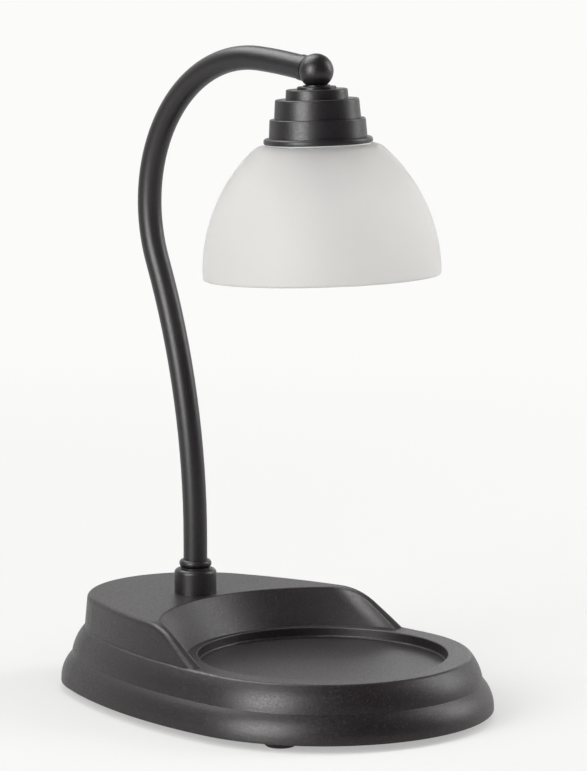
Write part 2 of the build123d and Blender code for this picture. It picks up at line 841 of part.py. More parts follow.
# Bushing that the cord enters through
with BuildPart() as cord_grommet:
    with BuildSketch(inlet_plane):
        Circle(inlet_body_radius)
        Circle(inlet_bore_radius, mode=Mode.SUBTRACT)
    extrude(amount=inlet_wall)
    with BuildSketch(inlet_plane.offset(inlet_wall)):
        Circle(inlet_flange_radius)
        Circle(inlet_bore_radius, mode=Mode.SUBTRACT)
    extrude(amount=inlet_flange_thickness)
    with BuildSketch(inlet_plane):
        Circle(inlet_lip_radius)
        Circle(inlet_bore_radius, mode=Mode.SUBTRACT)
    extrude(amount=-inlet_flange_thickness)
cord_grommet.part.label = "cord_grommet"
export_step(cord_grommet.part, "parts/cord_grommet.step")

# Terminal block hanging under the deck
pole_screw_ys = (block_y - pole_screw_spread, block_y + pole_screw_spread)
pole_screw_places = [(x, y) for x in pole_xs for y in pole_screw_ys]
with BuildPart() as terminal_block:
    with BuildSketch(Plane.XY.offset(block_bottom)):
        with Locations((block_x, block_y)):
            RectangleRounded(block_width, block_depth, block_corner_radius)
        with Locations((block_screw_x, block_y)):
            Circle(m3_radius + screw_gap, mode=Mode.SUBTRACT)
    extrude(amount=block_height)
    with BuildSketch(Plane.XY.offset(block_bottom)):
        with Locations(*pole_screw_places):
            Circle(pole_screw_head_radius + screw_gap)
    extrude(amount=block_height / 2, mode=Mode.SUBTRACT)
    with BuildSketch(Plane.XZ.offset(-block_y)):
        with Locations(*[(x, pole_height) for x in pole_xs]):
            Circle(pole_sleeve_radius + seat_gap)
    extrude(amount=block_depth, both=True, mode=Mode.SUBTRACT)
terminal_block.part.label = "terminal_block"
export_step(terminal_block.part, "parts/terminal_block.step")

# Brass sleeves of the three poles
with BuildPart() as terminal_sleeves:
    with BuildSketch(Plane.XZ.offset(-block_y)):
        with Locations(*[(x, pole_height) for x in pole_xs]):
            Circle(pole_sleeve_radius)
            Circle(pole_bore_radius, mode=Mode.SUBTRACT)
    extrude(amount=block_depth / 2 - sleeve_sink, both=True)
    with BuildSketch(Plane.XY.offset(block_bottom)):
        with Locations(*pole_screw_places):
            Circle(pole_screw_radius + thread_gap)
    extrude(amount=block_height / 2, mode=Mode.SUBTRACT)
terminal_sleeves.part.label = "terminal_sleeves"
export_step(terminal_sleeves.part, "parts/terminal_sleeves.step")

# Two clamping screws for each pole
pole_screw_head_top = block_bottom + pole_screw_sink + pole_screw_head_height
with BuildPart() as terminal_screws:
    add(
        screws(
            Plane.XY.offset(pole_screw_head_top),
            pole_screw_places,
            pole_screw_radius,
            pole_height - core_radius - face_gap - pole_screw_head_top,
            pole_screw_head_radius,
            pole_screw_head_height,
        )
    )
terminal_screws.part.label = "terminal_screws"
export_step(terminal_screws.part, "parts/terminal_screws.step")

# Screw that holds the terminal block
with BuildPart() as block_screw:
    add(
        screws(
            Plane.XY.offset(block_bottom),
            [(block_screw_x, block_y)],
            m3_radius,
            block_screw_length,
            m3_head_radius,
            m3_head_height,
        )
    )
block_screw.part.label = "block_screw"
export_step(block_screw.part, "parts/block_screw.step")

# Earth point: tag, screw and lead
earth_tag_bottom = earth_boss_bottom - earth_tag_thickness
with BuildPart() as earth_tag:
    with BuildSketch(Plane.XY.offset(earth_tag_bottom)):
        with Locations((earth_x, earth_y)):
            Circle(earth_tag_radius)
        with Locations((earth_x, earth_y + earth_tail_length / 2)):
            Rectangle(earth_tail_width, earth_tail_length)
        with Locations((earth_x, earth_y)):
            Circle(m4_radius + screw_gap, mode=Mode.SUBTRACT)
    extrude(amount=earth_tag_thickness)
earth_tag.part.label = "earth_tag"
export_step(earth_tag.part, "parts/earth_tag.step")

with BuildPart() as earth_screw:
    add(
        screws(
            Plane.XY.offset(earth_tag_bottom),
            [(earth_x, earth_y)],
            m4_radius,
            cover_screw_length - screw_gap,
            m4_head_radius,
            m4_head_height,
        )
    )
earth_screw.part.label = "earth_screw"
export_step(earth_screw.part, "parts/earth_screw.step")

earth_lead_end = earth_tag_bottom + earth_tag_thickness / 2
with BuildPart() as earth_lead:
    add(
        round_lead(
            [
                (pole_xs[2], block_y + pole_screw_spread, pole_height),
                (pole_xs[2], earth_lead_y, pole_height),
                (earth_x, earth_lead_y, earth_lead_end),
                (earth_x, earth_y + earth_tail_length, earth_lead_end),
            ],
            core_radius,
            core_bend_radius,
        )
    )
earth_lead.part.label = "earth_lead"
export_step(earth_lead.part, "parts/earth_lead.step")

# Lead from the terminal block to the foot of the neck
lead_x = (pole_xs[0] + pole_xs[1]) / 2
lead_end_y = block_y - block_depth / 2 - lead_end_gap
with BuildPart() as base_lead:
    add(
        round_lead(
            [
                (0, neck_y, stem_bottom - face_gap),
                (0, neck_y, lead_low_point),
                (lead_x, neck_y, lead_low_point),
                (lead_x, neck_y, pole_height),
                (lead_x, lead_end_y, pole_height),
            ],
            lead_radius,
            lead_bend_radius,
        )
    )
base_lead.part.label = "base_lead"
export_step(base_lead.part, "parts/base_lead.step")

# Its two cores, spread into two poles
with BuildPart() as base_cores:
    for side, pole_x in ((-1, pole_xs[0]), (1, pole_xs[1])):
        add(
            round_lead(
                [
                    (lead_x + side * (core_radius + face_gap), lead_end_y, pole_height),
                    (lead_x + side * (core_radius + face_gap), lead_end_y + core_bend_radius, pole_height),
                    (pole_x, block_y - block_depth / 2 - core_bend_radius / 2, pole_height),
                    (pole_x, block_y - pole_screw_spread + core_radius, pole_height),
                ],
                core_radius,
                core_bend_radius,
            )
        )
base_cores.part.label = "base_cores"
export_step(base_cores.part, "parts/base_cores.step")

# Collar on the deck
with BuildPart() as neck_collar:
    add(
        neck_turned(
            [
                (bush_radius + seat_gap, collar_bottom),
                (collar_spigot_radius, collar_bottom),
                (collar_spigot_radius, deck_height),
                (collar_radius, deck_height),
                (collar_radius, collar_top),
                (bush_radius + seat_gap, collar_top),
            ],
            [(collar_radius, collar_top)],
            collar_shoulder,
        )
    )
neck_collar.part.label = "neck_collar"
export_step(neck_collar.part, "parts/neck_collar.step")

# Plain bearing of the swivel
with BuildPart() as swivel_bush:
    add(
        neck_turned(
            [
                (stem_radius + running_gap, collar_bottom),
                (bush_radius, collar_bottom),
                (bush_radius, collar_top),
                (bush_flange_radius, collar_top),
                (bush_flange_radius, bush_top),
                (stem_radius + running_gap, bush_top),
            ]
        )
    )
swivel_bush.part.label = "swivel_bush"
export_step(swivel_bush.part, "parts/swivel_bush.step")

# Hollow stem that carries the neck and turns in the bearing
with BuildPart() as swivel_stem:
    add(
        neck_ring_part(
            stem_bore_radius, stem_radius, stem_bottom, tube_bottom + stem_reach_in_tube - stem_bottom
        )
    )
swivel_stem.part.label = "swivel_stem"
export_step(swivel_stem.part, "parts/swivel_stem.step")

# Fibre washer under the deck
with BuildPart() as friction_washer:
    add(
        neck_ring_part(
            stem_radius + screw_gap, stop_plate_radius, friction_washer_bottom, friction_washer_thickness
        )
    )
friction_washer.part.label = "friction_washer"
export_step(friction_washer.part, "parts/friction_washer.step")

# Plate with the lug that meets the two stop posts
with BuildPart() as stop_plate:
    with BuildSketch(Plane.XY.offset(stop_plate_bottom)):
        with Locations((0, neck_y)):
            Circle(stop_plate_radius)
        with Locations((0, neck_y + stop_lug_reach / 2)):
            Rectangle(stop_lug_width, stop_lug_reach)
        with Locations((0, neck_y)):
            Circle(stem_radius + seat_gap, mode=Mode.SUBTRACT)
    extrude(amount=stop_plate_thickness)
stop_plate.part.label = "stop_plate"
export_step(stop_plate.part, "parts/stop_plate.step")

# Split spring washer
with BuildPart() as spring_washer:
    add(
        neck_ring_part(
            stem_radius + seat_gap, spring_washer_radius, spring_washer_bottom, spring_washer_thickness
        )
    )
    with Locations((0, neck_y - spring_washer_radius, spring_washer_bottom)):
        Box(
            spring_washer_split,
            spring_washer_radius,
            spring_washer_thickness,
            align=STAND_UP,
            mode=Mode.SUBTRACT,
        )
spring_washer.part.label = "spring_washer"
export_step(spring_washer.part, "parts/spring_washer.step")

# Nut and lock nut of the swivel
stem_nut_plane = Plane(origin=(0, neck_y, stem_nut_bottom))
with BuildPart() as swivel_nut:
    add(hex_nut(stem_nut_plane, stem_nut_width, stem_nut_height, stem_radius + seat_gap))
swivel_nut.part.label = "swivel_nut"
export_step(swivel_nut.part, "parts/swivel_nut.step")

lock_nut_plane = Plane(origin=(0, neck_y, lock_nut_bottom), x_dir=(0, 1, 0), z_dir=(0, 0, 1))
with BuildPart() as lock_nut:
    add(hex_nut(lock_nut_plane, stem_nut_width, stem_nut_height, stem_radius + seat_gap))
lock_nut.part.label = "lock_nut"
export_step(lock_nut.part, "parts/lock_nut.step")

# Rounded ring at the bottom of the tube
neck_ring_top = neck_ring_bottom + neck_ring_height
with BuildPart() as neck_ring:
    add(
        neck_turned(
            [
                (stem_radius + seat_gap, neck_ring_bottom),
                (neck_ring_radius, neck_ring_bottom),
                (neck_ring_radius, neck_ring_top),
                (tube_radius + seat_gap, neck_ring_top),
                (tube_radius + seat_gap, tube_bottom),
                (stem_radius + seat_gap, tube_bottom),
            ],
            [(neck_ring_radius, neck_ring_bottom), (neck_ring_radius, neck_ring_top)],
            neck_ring_rounding,
        )
    )
neck_ring.part.label = "neck_ring"
export_step(neck_ring.part, "parts/neck_ring.step")

# Bent tube of the neck
with BuildPart() as neck_tube:
    with BuildLine() as neck_path:
        add(neck_line(tube_bottom, tube_end))
    with BuildSketch(Plane(origin=(0, neck_y, tube_bottom))):
        Circle(tube_radius)
        Circle(tube_bore_radius, mode=Mode.SUBTRACT)
    sweep(path=neck_path.line)
neck_tube.part.label = "neck_tube"
export_step(neck_tube.part, "parts/neck_tube.step")

# Lead inside the neck, turned down through the ball
with BuildPart() as neck_lead:
    with BuildLine() as lead_path:
        add(neck_line(stem_bottom, ball_bend_setback, turn_down=True))
    with BuildSketch(Plane(origin=(0, neck_y, stem_bottom))):
        Circle(lead_radius)
    sweep(path=lead_path.line)
neck_lead.part.label = "neck_lead"
export_step(neck_lead.part, "parts/neck_lead.step")

# Ferrule where the tube meets the ball
with BuildPart() as tube_ferrule:
    with BuildSketch(elbow_plane.offset(ferrule_start)):
        Circle(ferrule_radius)
        Circle(tube_radius + seat_gap, mode=Mode.SUBTRACT)
    extrude(amount=ferrule_length)
    with Locations(elbow_plane):
        Sphere(ball_radius + seat_gap, mode=Mode.SUBTRACT)
tube_ferrule.part.label = "tube_ferrule"
export_step(tube_ferrule.part, "parts/tube_ferrule.step")

# Hollow ball that turns the neck down into the head
with BuildPart() as ball_elbow:
    with Locations(elbow_plane):
        Sphere(ball_radius)
    with BuildSketch(elbow_plane):
        Circle(tube_bore_radius - seat_gap)
    extrude(amount=tube_end + elbow_spigot_length)
    with Locations(elbow_plane):
        Sphere(ball_cavity_radius, mode=Mode.SUBTRACT)
    with BuildSketch(elbow_plane):
        Circle(elbow_spigot_bore_radius)
    extrude(amount=tube_end + elbow_spigot_length, mode=Mode.SUBTRACT)
    with BuildSketch(head_plane(0)):
        Circle(nipple_hole_radius)
    extrude(amount=ball_radius, mode=Mode.SUBTRACT)
ball_elbow.part.label = "ball_elbow"
export_step(ball_elbow.part, "parts/ball_elbow.step")

# Seat under the ball
with BuildPart() as elbow_spacer:
    add(head_ring_part(nipple_hole_radius, spacer_radius, spacer_top, spacer_bottom - spacer_top))
    with Locations(elbow_plane):
        Sphere(ball_radius + seat_gap, mode=Mode.SUBTRACT)
elbow_spacer.part.label = "elbow_spacer"
export_step(elbow_spacer.part, "parts/elbow_spacer.step")

# Washer on top of the cap
with BuildPart() as head_washer:
    add(
        head_turned(
            [
                (nipple_hole_radius, spacer_bottom),
                (head_washer_radius, spacer_bottom),
                (head_washer_radius, cap_top),
                (nipple_hole_radius, cap_top),
            ],
            [(head_washer_radius, spacer_bottom)],
            head_washer_edge_radius,
        )
    )
head_washer.part.label = "head_washer"
export_step(head_washer.part, "parts/head_washer.step")

# Threaded nipple that hangs the head from the ball
with BuildPart() as head_nipple:
    add(head_ring_part(nipple_bore_radius, nipple_radius, nipple_top, nipple_bottom - nipple_top))
head_nipple.part.label = "head_nipple"
export_step(head_nipple.part, "parts/head_nipple.step")

# Stepped cap
inner_step_two_top = cap_step_two_top + cap_wall
inner_step_three_top = cap_step_three_top + cap_wall
with BuildPart() as shade_cap:
    add(
        head_turned(
            [
                (nipple_hole_radius, cap_top),
                (cap_step_one_top_radius, cap_top),
                (cap_step_one_radius, cap_step_two_top),
                (cap_step_two_top_radius, cap_step_two_top),
                (cap_step_two_radius, cap_step_three_top),
                (cap_step_three_top_radius, cap_step_three_top),
                (cap_step_three_radius, cap_flange_top),
                (cap_flange_radius, cap_flange_top),
                (cap_flange_radius, cap_flange_bottom),
                (cap_step_three_radius - cap_wall, cap_flange_bottom),
                (cap_step_three_top_radius - cap_wall, inner_step_three_top),
                (cap_step_two_radius - cap_wall, inner_step_three_top),
                (cap_step_two_top_radius - cap_wall, inner_step_two_top),
                (cap_step_one_radius - cap_wall, inner_step_two_top),
                (cap_step_one_top_radius - cap_wall, bracket_top),
                (nipple_hole_radius, bracket_top),
            ],
            [
                (cap_step_one_top_radius, cap_top),
                (cap_step_two_top_radius, cap_step_two_top),
                (cap_step_three_top_radius, cap_step_three_top),
                (cap_flange_radius, cap_flange_top, cap_flange_edge_radius),
                (cap_flange_radius, cap_flange_bottom),
            ],
            cap_edge_radius,
        )
    )
shade_cap.part.label = "shade_cap"
export_step(shade_cap.part, "parts/shade_cap.step")

# Bridge that carries the lampholder
tab_width = bracket_tab_reach - bracket_leg_outside + bracket_thickness
tab_middle = (bracket_tab_reach + bracket_leg_outside - bracket_thickness) / 2
with BuildPart() as holder_bracket:
    with BuildSketch(head_plane(bracket_top)):
        Rectangle(2 * bracket_leg_outside, bracket_width)
        Circle(nipple_hole_radius, mode=Mode.SUBTRACT)
    extrude(amount=bracket_thickness)
    with BuildSketch(head_plane(bracket_top)):
        with Locations(*mirrored(bracket_leg_outside - bracket_thickness / 2, 0)):
            Rectangle(bracket_thickness, bracket_width)
    extrude(amount=bracket_tab_bottom - bracket_top)
    with BuildSketch(head_plane(bracket_tab_bottom)):
        with Locations(*mirrored(tab_middle, 0)):
            Rectangle(tab_width, bracket_width)
        with Locations(*mirrored(holder_screw_distance, 0)):
            Circle(holder_screw_radius + thread_gap, mode=Mode.SUBTRACT)
    extrude(amount=-bracket_thickness)
holder_bracket.part.label = "holder_bracket"
export_step(holder_bracket.part, "parts/holder_bracket.step")

# Lock washer and nut under the bridge
with BuildPart() as head_lock_washer:
    add(
        head_ring_part(
            nipple_hole_radius, nipple_nut_width / 2, lock_washer_top, lock_washer_thickness
        )
    )
head_lock_washer.part.label = "head_lock_washer"
export_step(head_lock_washer.part, "parts/head_lock_washer.step")

with BuildPart() as head_nut:
    add(hex_nut(head_plane(nipple_nut_top), nipple_nut_width, nipple_nut_height, nipple_hole_radius))
head_nut.part.label = "head_nut"
export_step(head_nut.part, "parts/head_nut.step")

# Threaded sleeve round the lampholder that the shade ring screws onto
with BuildPart() as holder_skirt:
    add(
        head_turned(
            [
                (skirt_plate_bore_radius, bracket_tab_bottom),
                (skirt_thread_radius, bracket_tab_bottom),
                (skirt_thread_radius, skirt_bottom),
                (skirt_bore_radius, skirt_bottom),
                (skirt_bore_radius, holder_top),
                (skirt_plate_bore_radius, holder_top),
            ]
        )
    )
    with BuildSketch(head_plane(bracket_tab_bottom)):
        with Locations(*mirrored(holder_screw_distance, 0)):
            Circle(holder_screw_radius + screw_gap)
    extrude(amount=skirt_plate_thickness, mode=Mode.SUBTRACT)
holder_skirt.part.label = "holder_skirt"
export_step(holder_skirt.part, "parts/holder_skirt.step")

# Ceramic lampholder with a keyhole slot for each pin
holder_screw_head_top = holder_bottom - holder_screw_sink - holder_screw_head_height
with BuildPart() as lampholder:
    with BuildSketch(head_plane(holder_top)):
        Circle(holder_radius)
        with Locations(*mirrored(holder_screw_distance, 0)):
            Circle(holder_screw_radius + screw_gap, mode=Mode.SUBTRACT)
    extrude(amount=holder_bottom - holder_top)
    with BuildSketch(head_plane(holder_screw_head_top)):
        with Locations(*mirrored(holder_screw_distance, 0)):
            Circle(holder_screw_head_radius + screw_gap)
    extrude(amount=holder_bottom - holder_screw_head_top, mode=Mode.SUBTRACT)
    with BuildSketch(head_plane(holder_top)):
        with Locations(*mirrored(pin_distance, 0)):
            Circle(core_hole_radius)
    extrude(amount=contact_top - holder_top, mode=Mode.SUBTRACT)
    with BuildSketch(head_plane(contact_top)):
        with Locations(*mirrored(pin_distance, 0)):
            Rectangle(contact_width + 2 * seat_gap, contact_depth + 2 * seat_gap)
    extrude(amount=chamber_bottom - contact_top, mode=Mode.SUBTRACT)
    for first_angle in (0, 180):
        with BuildSketch(head_plane(pin_head_top - contact_gap)):
            add(arc_slot(pin_distance, pin_head_radius + pin_clearance, first_angle, bulb_twist))
        extrude(amount=chamber_bottom - pin_head_top + contact_gap, mode=Mode.SUBTRACT)
        with BuildSketch(head_plane(chamber_bottom)):
            add(arc_slot(pin_distance, pin_radius + pin_clearance, first_angle, bulb_twist))
            with PolarLocations(pin_distance, 1, start_angle=first_angle + bulb_twist):
                Circle(pin_head_radius + pin_clearance)
        extrude(amount=holder_lip_thickness, mode=Mode.SUBTRACT)
lampholder.part.label = "lampholder"
export_step(lampholder.part, "parts/lampholder.step")

# Two screws through lampholder and sleeve into the bridge
holder_screw_origin = ball_centre + head_down * holder_screw_head_top
with BuildPart() as holder_screws:
    add(
        screws(
            Plane(origin=holder_screw_origin, x_dir=(1, 0, 0), z_dir=-head_down),
            mirrored(holder_screw_distance, 0),
            holder_screw_radius,
            holder_screw_head_top - bracket_tab_bottom + bracket_thickness + holder_screw_sink,
            holder_screw_head_radius,
            holder_screw_head_height,
        )
    )
holder_screws.part.label = "holder_screws"
export_step(holder_screws.part, "parts/holder_screws.step")

# Spring contacts for the two pins
with BuildPart() as holder_contacts:
    with BuildSketch(head_plane(contact_top)):
        with Locations(*mirrored(pin_distance, 0)):
            Rectangle(contact_width, contact_depth)
    extrude(amount=contact_thickness)
holder_contacts.part.label = "holder_contacts"
export_step(holder_contacts.part, "parts/holder_contacts.step")

# Cores from the neck's lead to the contacts
with BuildPart() as head_cores:
    for side in (-1, 1):
        start_x = side * (core_radius + face_gap)
        add(
            round_lead(
                [
                    head_plane(nipple_bottom).from_local_coords((start_x, 0, 0)),
                    head_plane(nipple_bottom + core_bend_radius / 2).from_local_coords((start_x, 0, 0)),
                    head_plane(holder_top).from_local_coords((side * pin_distance, 0, 0)),
                    head_plane(contact_top).from_local_coords((side * pin_distance, 0, 0)),
                ],
                core_radius,
                core_bend_radius / 2,
            )
        )
head_cores.part.label = "head_cores"
export_step(head_cores.part, "parts/head_cores.step")

# Gaskets above and below the glass
with BuildPart() as upper_gasket:
    add(
        head_ring_part(
            cap_step_three_radius - cap_wall,
            cap_flange_radius - cap_edge_radius,
            cap_flange_bottom,
            gasket_thickness,
        )
    )
upper_gasket.part.label = "upper_gasket"
export_step(upper_gasket.part, "parts/upper_gasket.step")

with BuildPart() as lower_gasket:
    add(
        head_ring_part(
            glass_hole_radius, ring_nut_radius - ring_nut_edge, glass_underside, gasket_thickness
        )
    )
lower_gasket.part.label = "lower_gasket"
export_step(lower_gasket.part, "parts/lower_gasket.step")

# Frosted glass shade
def on_glass_arc(radius, down):
    """Point of the shade's section on an arc of that radius, at a distance below the ball's middle."""
    out = glass_centre_out + sqrt(radius**2 - (down - glass_centre_down) ** 2)
    return (out, -down)


inner_arc_radius = glass_arc_radius - glass_thickness
glass_middle = (glass_top + glass_rim_down) / 2
glass_outer_top = on_glass_arc(glass_arc_radius, glass_top)
glass_outer_rim = on_glass_arc(glass_arc_radius, glass_rim_down)
glass_inner_top = on_glass_arc(inner_arc_radius, glass_underside)
glass_inner_rim = on_glass_arc(inner_arc_radius, glass_rim_down)
with BuildPart() as glass_shade:
    with BuildSketch(head_section) as glass_profile:
        with BuildLine():
            Polyline(
                glass_inner_top,
                (glass_hole_radius, -glass_underside),
                (glass_hole_radius, -glass_top),
                glass_outer_top,
            )
            ThreePointArc(
                glass_outer_top, on_glass_arc(glass_arc_radius, glass_middle), glass_outer_rim
            )
            Line(glass_outer_rim, glass_inner_rim)
            ThreePointArc(
                glass_inner_rim, on_glass_arc(inner_arc_radius, glass_middle), glass_inner_top
            )
        make_face()
        fillet(glass_profile.vertices().sort_by_distance(glass_outer_top)[0], glass_shoulder_radius)
        rim_corners = glass_profile.vertices().sort_by(Axis.Y)[:2]
        fillet(rim_corners, glass_rim_rounding)
    revolve(axis=head_axis)
glass_shade.part.label = "glass_shade"
export_step(glass_shade.part, "parts/glass_shade.step")

# Ring nut that presses the glass up against the cap
ring_nut_bottom = ring_nut_top + ring_nut_height
with BuildPart() as shade_ring:
    add(
        head_turned(
            [
                (skirt_thread_radius + ring_thread_gap, ring_nut_top),
                (ring_nut_radius, ring_nut_top),
                (ring_nut_radius, ring_nut_bottom),
                (skirt_thread_radius + ring_thread_gap, ring_nut_bottom),
            ],
            [(ring_nut_radius, ring_nut_top), (ring_nut_radius, ring_nut_bottom)],
            ring_nut_edge,
        )
    )
    with BuildSketch(head_plane(ring_nut_top)):
        with PolarLocations(ring_nut_radius, ring_nut_notches):
            Circle(ring_nut_notch_radius)
    extrude(amount=ring_nut_height, mode=Mode.SUBTRACT)
shade_ring.part.label = "shade_ring"
export_step(shade_ring.part, "parts/shade_ring.step")

# Bulb: base, pins, reflector, front lens and the capsule inside
with BuildPart() as bulb_base:
    add(
        head_turned(
            [
                (0, bulb_top),
                (bulb_base_radius, bulb_top),
                (bulb_base_radius, reflector_top),
                (0, reflector_top),
            ],
            [(bulb_base_radius, bulb_top), (bulb_base_radius, reflector_top)],
            bulb_edge_radius,
        )
    )
bulb_base.part.label = "bulb_base"
export_step(bulb_base.part, "parts/bulb_base.step")

with BuildPart() as bulb_pins:
    with BuildSketch(head_plane(bulb_top)):
        with Locations(*mirrored(pin_distance, 0)):
            Circle(pin_radius)
    extrude(amount=pin_head_bottom - bulb_top)
    with BuildSketch(head_plane(pin_head_bottom)):
        with Locations(*mirrored(pin_distance, 0)):
            Circle(pin_head_radius)
    extrude(amount=-pin_head_height)
bulb_pins.part.label = "bulb_pins"
export_step(bulb_pins.part, "parts/bulb_pins.step")

reflector_middle = (reflector_top + reflector_bottom) / 2
with BuildPart() as bulb_reflector:
    with BuildSketch(head_section):
        with BuildLine():
            ThreePointArc(
                (bulb_neck_radius, -reflector_top),
                (bulb_middle_radius, -reflector_middle),
                (bulb_rim_radius, -reflector_bottom),
            )
            Line(
                (bulb_rim_radius, -reflector_bottom),
                (bulb_rim_radius - bulb_glass_wall, -reflector_bottom),
            )
            ThreePointArc(
                (bulb_rim_radius - bulb_glass_wall, -reflector_bottom),
                (bulb_middle_radius - bulb_glass_wall, -reflector_middle),
                (bulb_neck_radius - bulb_glass_wall / 2, -reflector_top - bulb_glass_wall),
            )
            Polyline(
                (bulb_neck_radius - bulb_glass_wall / 2, -reflector_top - bulb_glass_wall),
                (0, -reflector_top - bulb_glass_wall),
                (0, -reflector_top),
                (bulb_neck_radius, -reflector_top),
            )
        make_face()
    revolve(axis=head_axis)
bulb_reflector.part.label = "bulb_reflector"
export_step(bulb_reflector.part, "parts/bulb_reflector.step")

lens_bottom = reflector_bottom + bulb_lens_thickness
with BuildPart() as bulb_lens:
    add(
        head_turned(
            [
                (0, reflector_bottom),
                (bulb_rim_radius - bulb_lens_inset, reflector_bottom),
                (bulb_rim_radius - bulb_lens_inset, lens_bottom),
                (0, lens_bottom),
            ],
            [(bulb_rim_radius - bulb_lens_inset, lens_bottom)],
            bulb_edge_radius,
        )
    )
bulb_lens.part.label = "bulb_lens"
export_step(bulb_lens.part, "parts/bulb_lens.step")

capsule_top = reflector_top + bulb_glass_wall
capsule_bottom = capsule_top + capsule_length
with BuildPart() as bulb_capsule:
    with BuildSketch(head_section):
        with BuildLine():
            Polyline(
                (0, -capsule_bottom),
                (0, -capsule_top),
                (capsule_radius, -capsule_top),
                (capsule_radius, capsule_radius - capsule_bottom),
            )
            RadiusArc(
                (capsule_radius, capsule_radius - capsule_bottom), (0, -capsule_bottom), capsule_radius
            )
        make_face()
    revolve(axis=head_axis)
bulb_capsule.part.label = "bulb_capsule"
export_step(bulb_capsule.part, "parts/bulb_capsule.step")
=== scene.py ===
import json
from math import cos, pi, radians, sin
import bmesh
import bpy
from mathutils import Matrix, Vector


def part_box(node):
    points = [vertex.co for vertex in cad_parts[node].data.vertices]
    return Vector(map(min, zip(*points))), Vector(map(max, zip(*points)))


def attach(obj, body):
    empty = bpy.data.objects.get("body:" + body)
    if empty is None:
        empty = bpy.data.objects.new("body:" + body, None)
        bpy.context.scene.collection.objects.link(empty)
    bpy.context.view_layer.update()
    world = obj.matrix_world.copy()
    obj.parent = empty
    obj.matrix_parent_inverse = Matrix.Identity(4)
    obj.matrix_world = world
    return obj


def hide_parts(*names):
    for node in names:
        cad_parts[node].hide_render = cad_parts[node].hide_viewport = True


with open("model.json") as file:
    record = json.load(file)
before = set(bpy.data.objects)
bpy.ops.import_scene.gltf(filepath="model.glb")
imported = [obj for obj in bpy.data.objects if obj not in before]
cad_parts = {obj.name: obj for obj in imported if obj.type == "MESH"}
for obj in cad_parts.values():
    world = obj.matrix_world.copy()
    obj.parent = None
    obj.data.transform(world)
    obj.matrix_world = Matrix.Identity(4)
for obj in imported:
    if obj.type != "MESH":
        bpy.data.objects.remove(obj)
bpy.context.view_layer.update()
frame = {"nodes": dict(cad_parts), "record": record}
cad = frame["nodes"]


# Photographer's table: a plain pale sheet that runs out into a white background.
# It is smooth matte paper; the lamp's shadow on it is faint because a painted white glow is mixed in.
def paint(code):
    """Linear colour of an sRGB hex value."""
    parts = [int(code[place:place + 2], 16) / 255 for place in (1, 3, 5)]
    return [p / 12.92 if p <= 0.04045 else ((p + 0.055) / 1.055) ** 2.4 for p in parts] + [1.0]


def add_node(tree, kind, sockets=(), **settings):
    """Adds a node with its settings; a socket takes a value, or the output that is linked to it."""
    made = tree.nodes.new(kind)
    for name, value in settings.items():
        setattr(made, name, value)
    for name, value in dict(sockets).items():
        if isinstance(value, bpy.types.NodeSocket):
            tree.links.new(value, made.inputs[name])
        else:
            made.inputs[name].default_value = value
    return made


def bare_material(name):
    """New material with an empty node tree, and that tree."""
    material = bpy.data.materials.new(name)
    material.use_nodes = True
    material.node_tree.nodes.clear()
    return material, material.node_tree


# Uncoated white paper: no sheen, and it goes over into pure white away from the lamp.
# That white is only for the eye and for reflections; light falls on plain paper everywhere.
surround_white = paint("#fbfbfa")
# Near the lamp four tenths of that white is still mixed in: a painted glow that lightens the lamp's shadow.
fade_start, fade_end, painted_glow_least = 0.35, 1.3, 0.4
paper, tree = bare_material("white_paper_sheet")
place = add_node(tree, "ShaderNodeTexCoord")
radius = add_node(tree, "ShaderNodeVectorMath", {0: place.outputs["Object"]}, operation="LENGTH")
far = add_node(tree, "ShaderNodeMapRange",
               {"Value": radius.outputs["Value"], "From Min": fade_start, "From Max": fade_end},
               interpolation_type="SMOOTHSTEP")
ray = add_node(tree, "ShaderNodeLightPath")
seen = add_node(tree, "ShaderNodeMath", {0: ray.outputs["Is Camera Ray"], 1: ray.outputs["Is Glossy Ray"]},
                operation="MAXIMUM")
seen = add_node(tree, "ShaderNodeMath", {0: seen.outputs[0], 1: ray.outputs["Is Transmission Ray"]},
                operation="MAXIMUM")
# Painted glow: from four tenths near the lamp to all white far off, seen only by the eye and in reflections.
pale = add_node(tree, "ShaderNodeMapRange", {"Value": far.outputs["Result"], "To Min": painted_glow_least})
faded = add_node(tree, "ShaderNodeMath", {0: pale.outputs["Result"], 1: seen.outputs[0]},
                 operation="MULTIPLY")
matte = add_node(tree, "ShaderNodeBsdfDiffuse", {"Color": paint("#f4f4f3"), "Roughness": 0.9})
white = add_node(tree, "ShaderNodeEmission", {"Color": surround_white, "Strength": 1.0})
sheet = add_node(tree, "ShaderNodeMixShader",
                 {0: faded.outputs[0], 1: matte.outputs[0], 2: white.outputs[0]})
side = add_node(tree, "ShaderNodeNewGeometry")
under = add_node(tree, "ShaderNodeBsdfTransparent")
sheet = add_node(tree, "ShaderNodeMixShader",
                 {0: side.outputs["Backfacing"], 1: sheet.outputs[0], 2: under.outputs[0]})
add_node(tree, "ShaderNodeOutputMaterial", {"Surface": sheet.outputs[0]})

sheet_radius, sheet_sides = 2.6, 96
sheet_angles = [2 * pi * step / sheet_sides for step in range(sheet_sides)]
corners = [(sheet_radius * cos(angle), sheet_radius * sin(angle), 0) for angle in sheet_angles]
table_mesh = bpy.data.meshes.new("table_sheet")
table_mesh.from_pydata(corners, [], [list(range(sheet_sides))])
table_sheet = bpy.data.objects.new("table_sheet", table_mesh)
bpy.context.scene.collection.objects.link(table_sheet)
table_mesh.materials.append(paper)

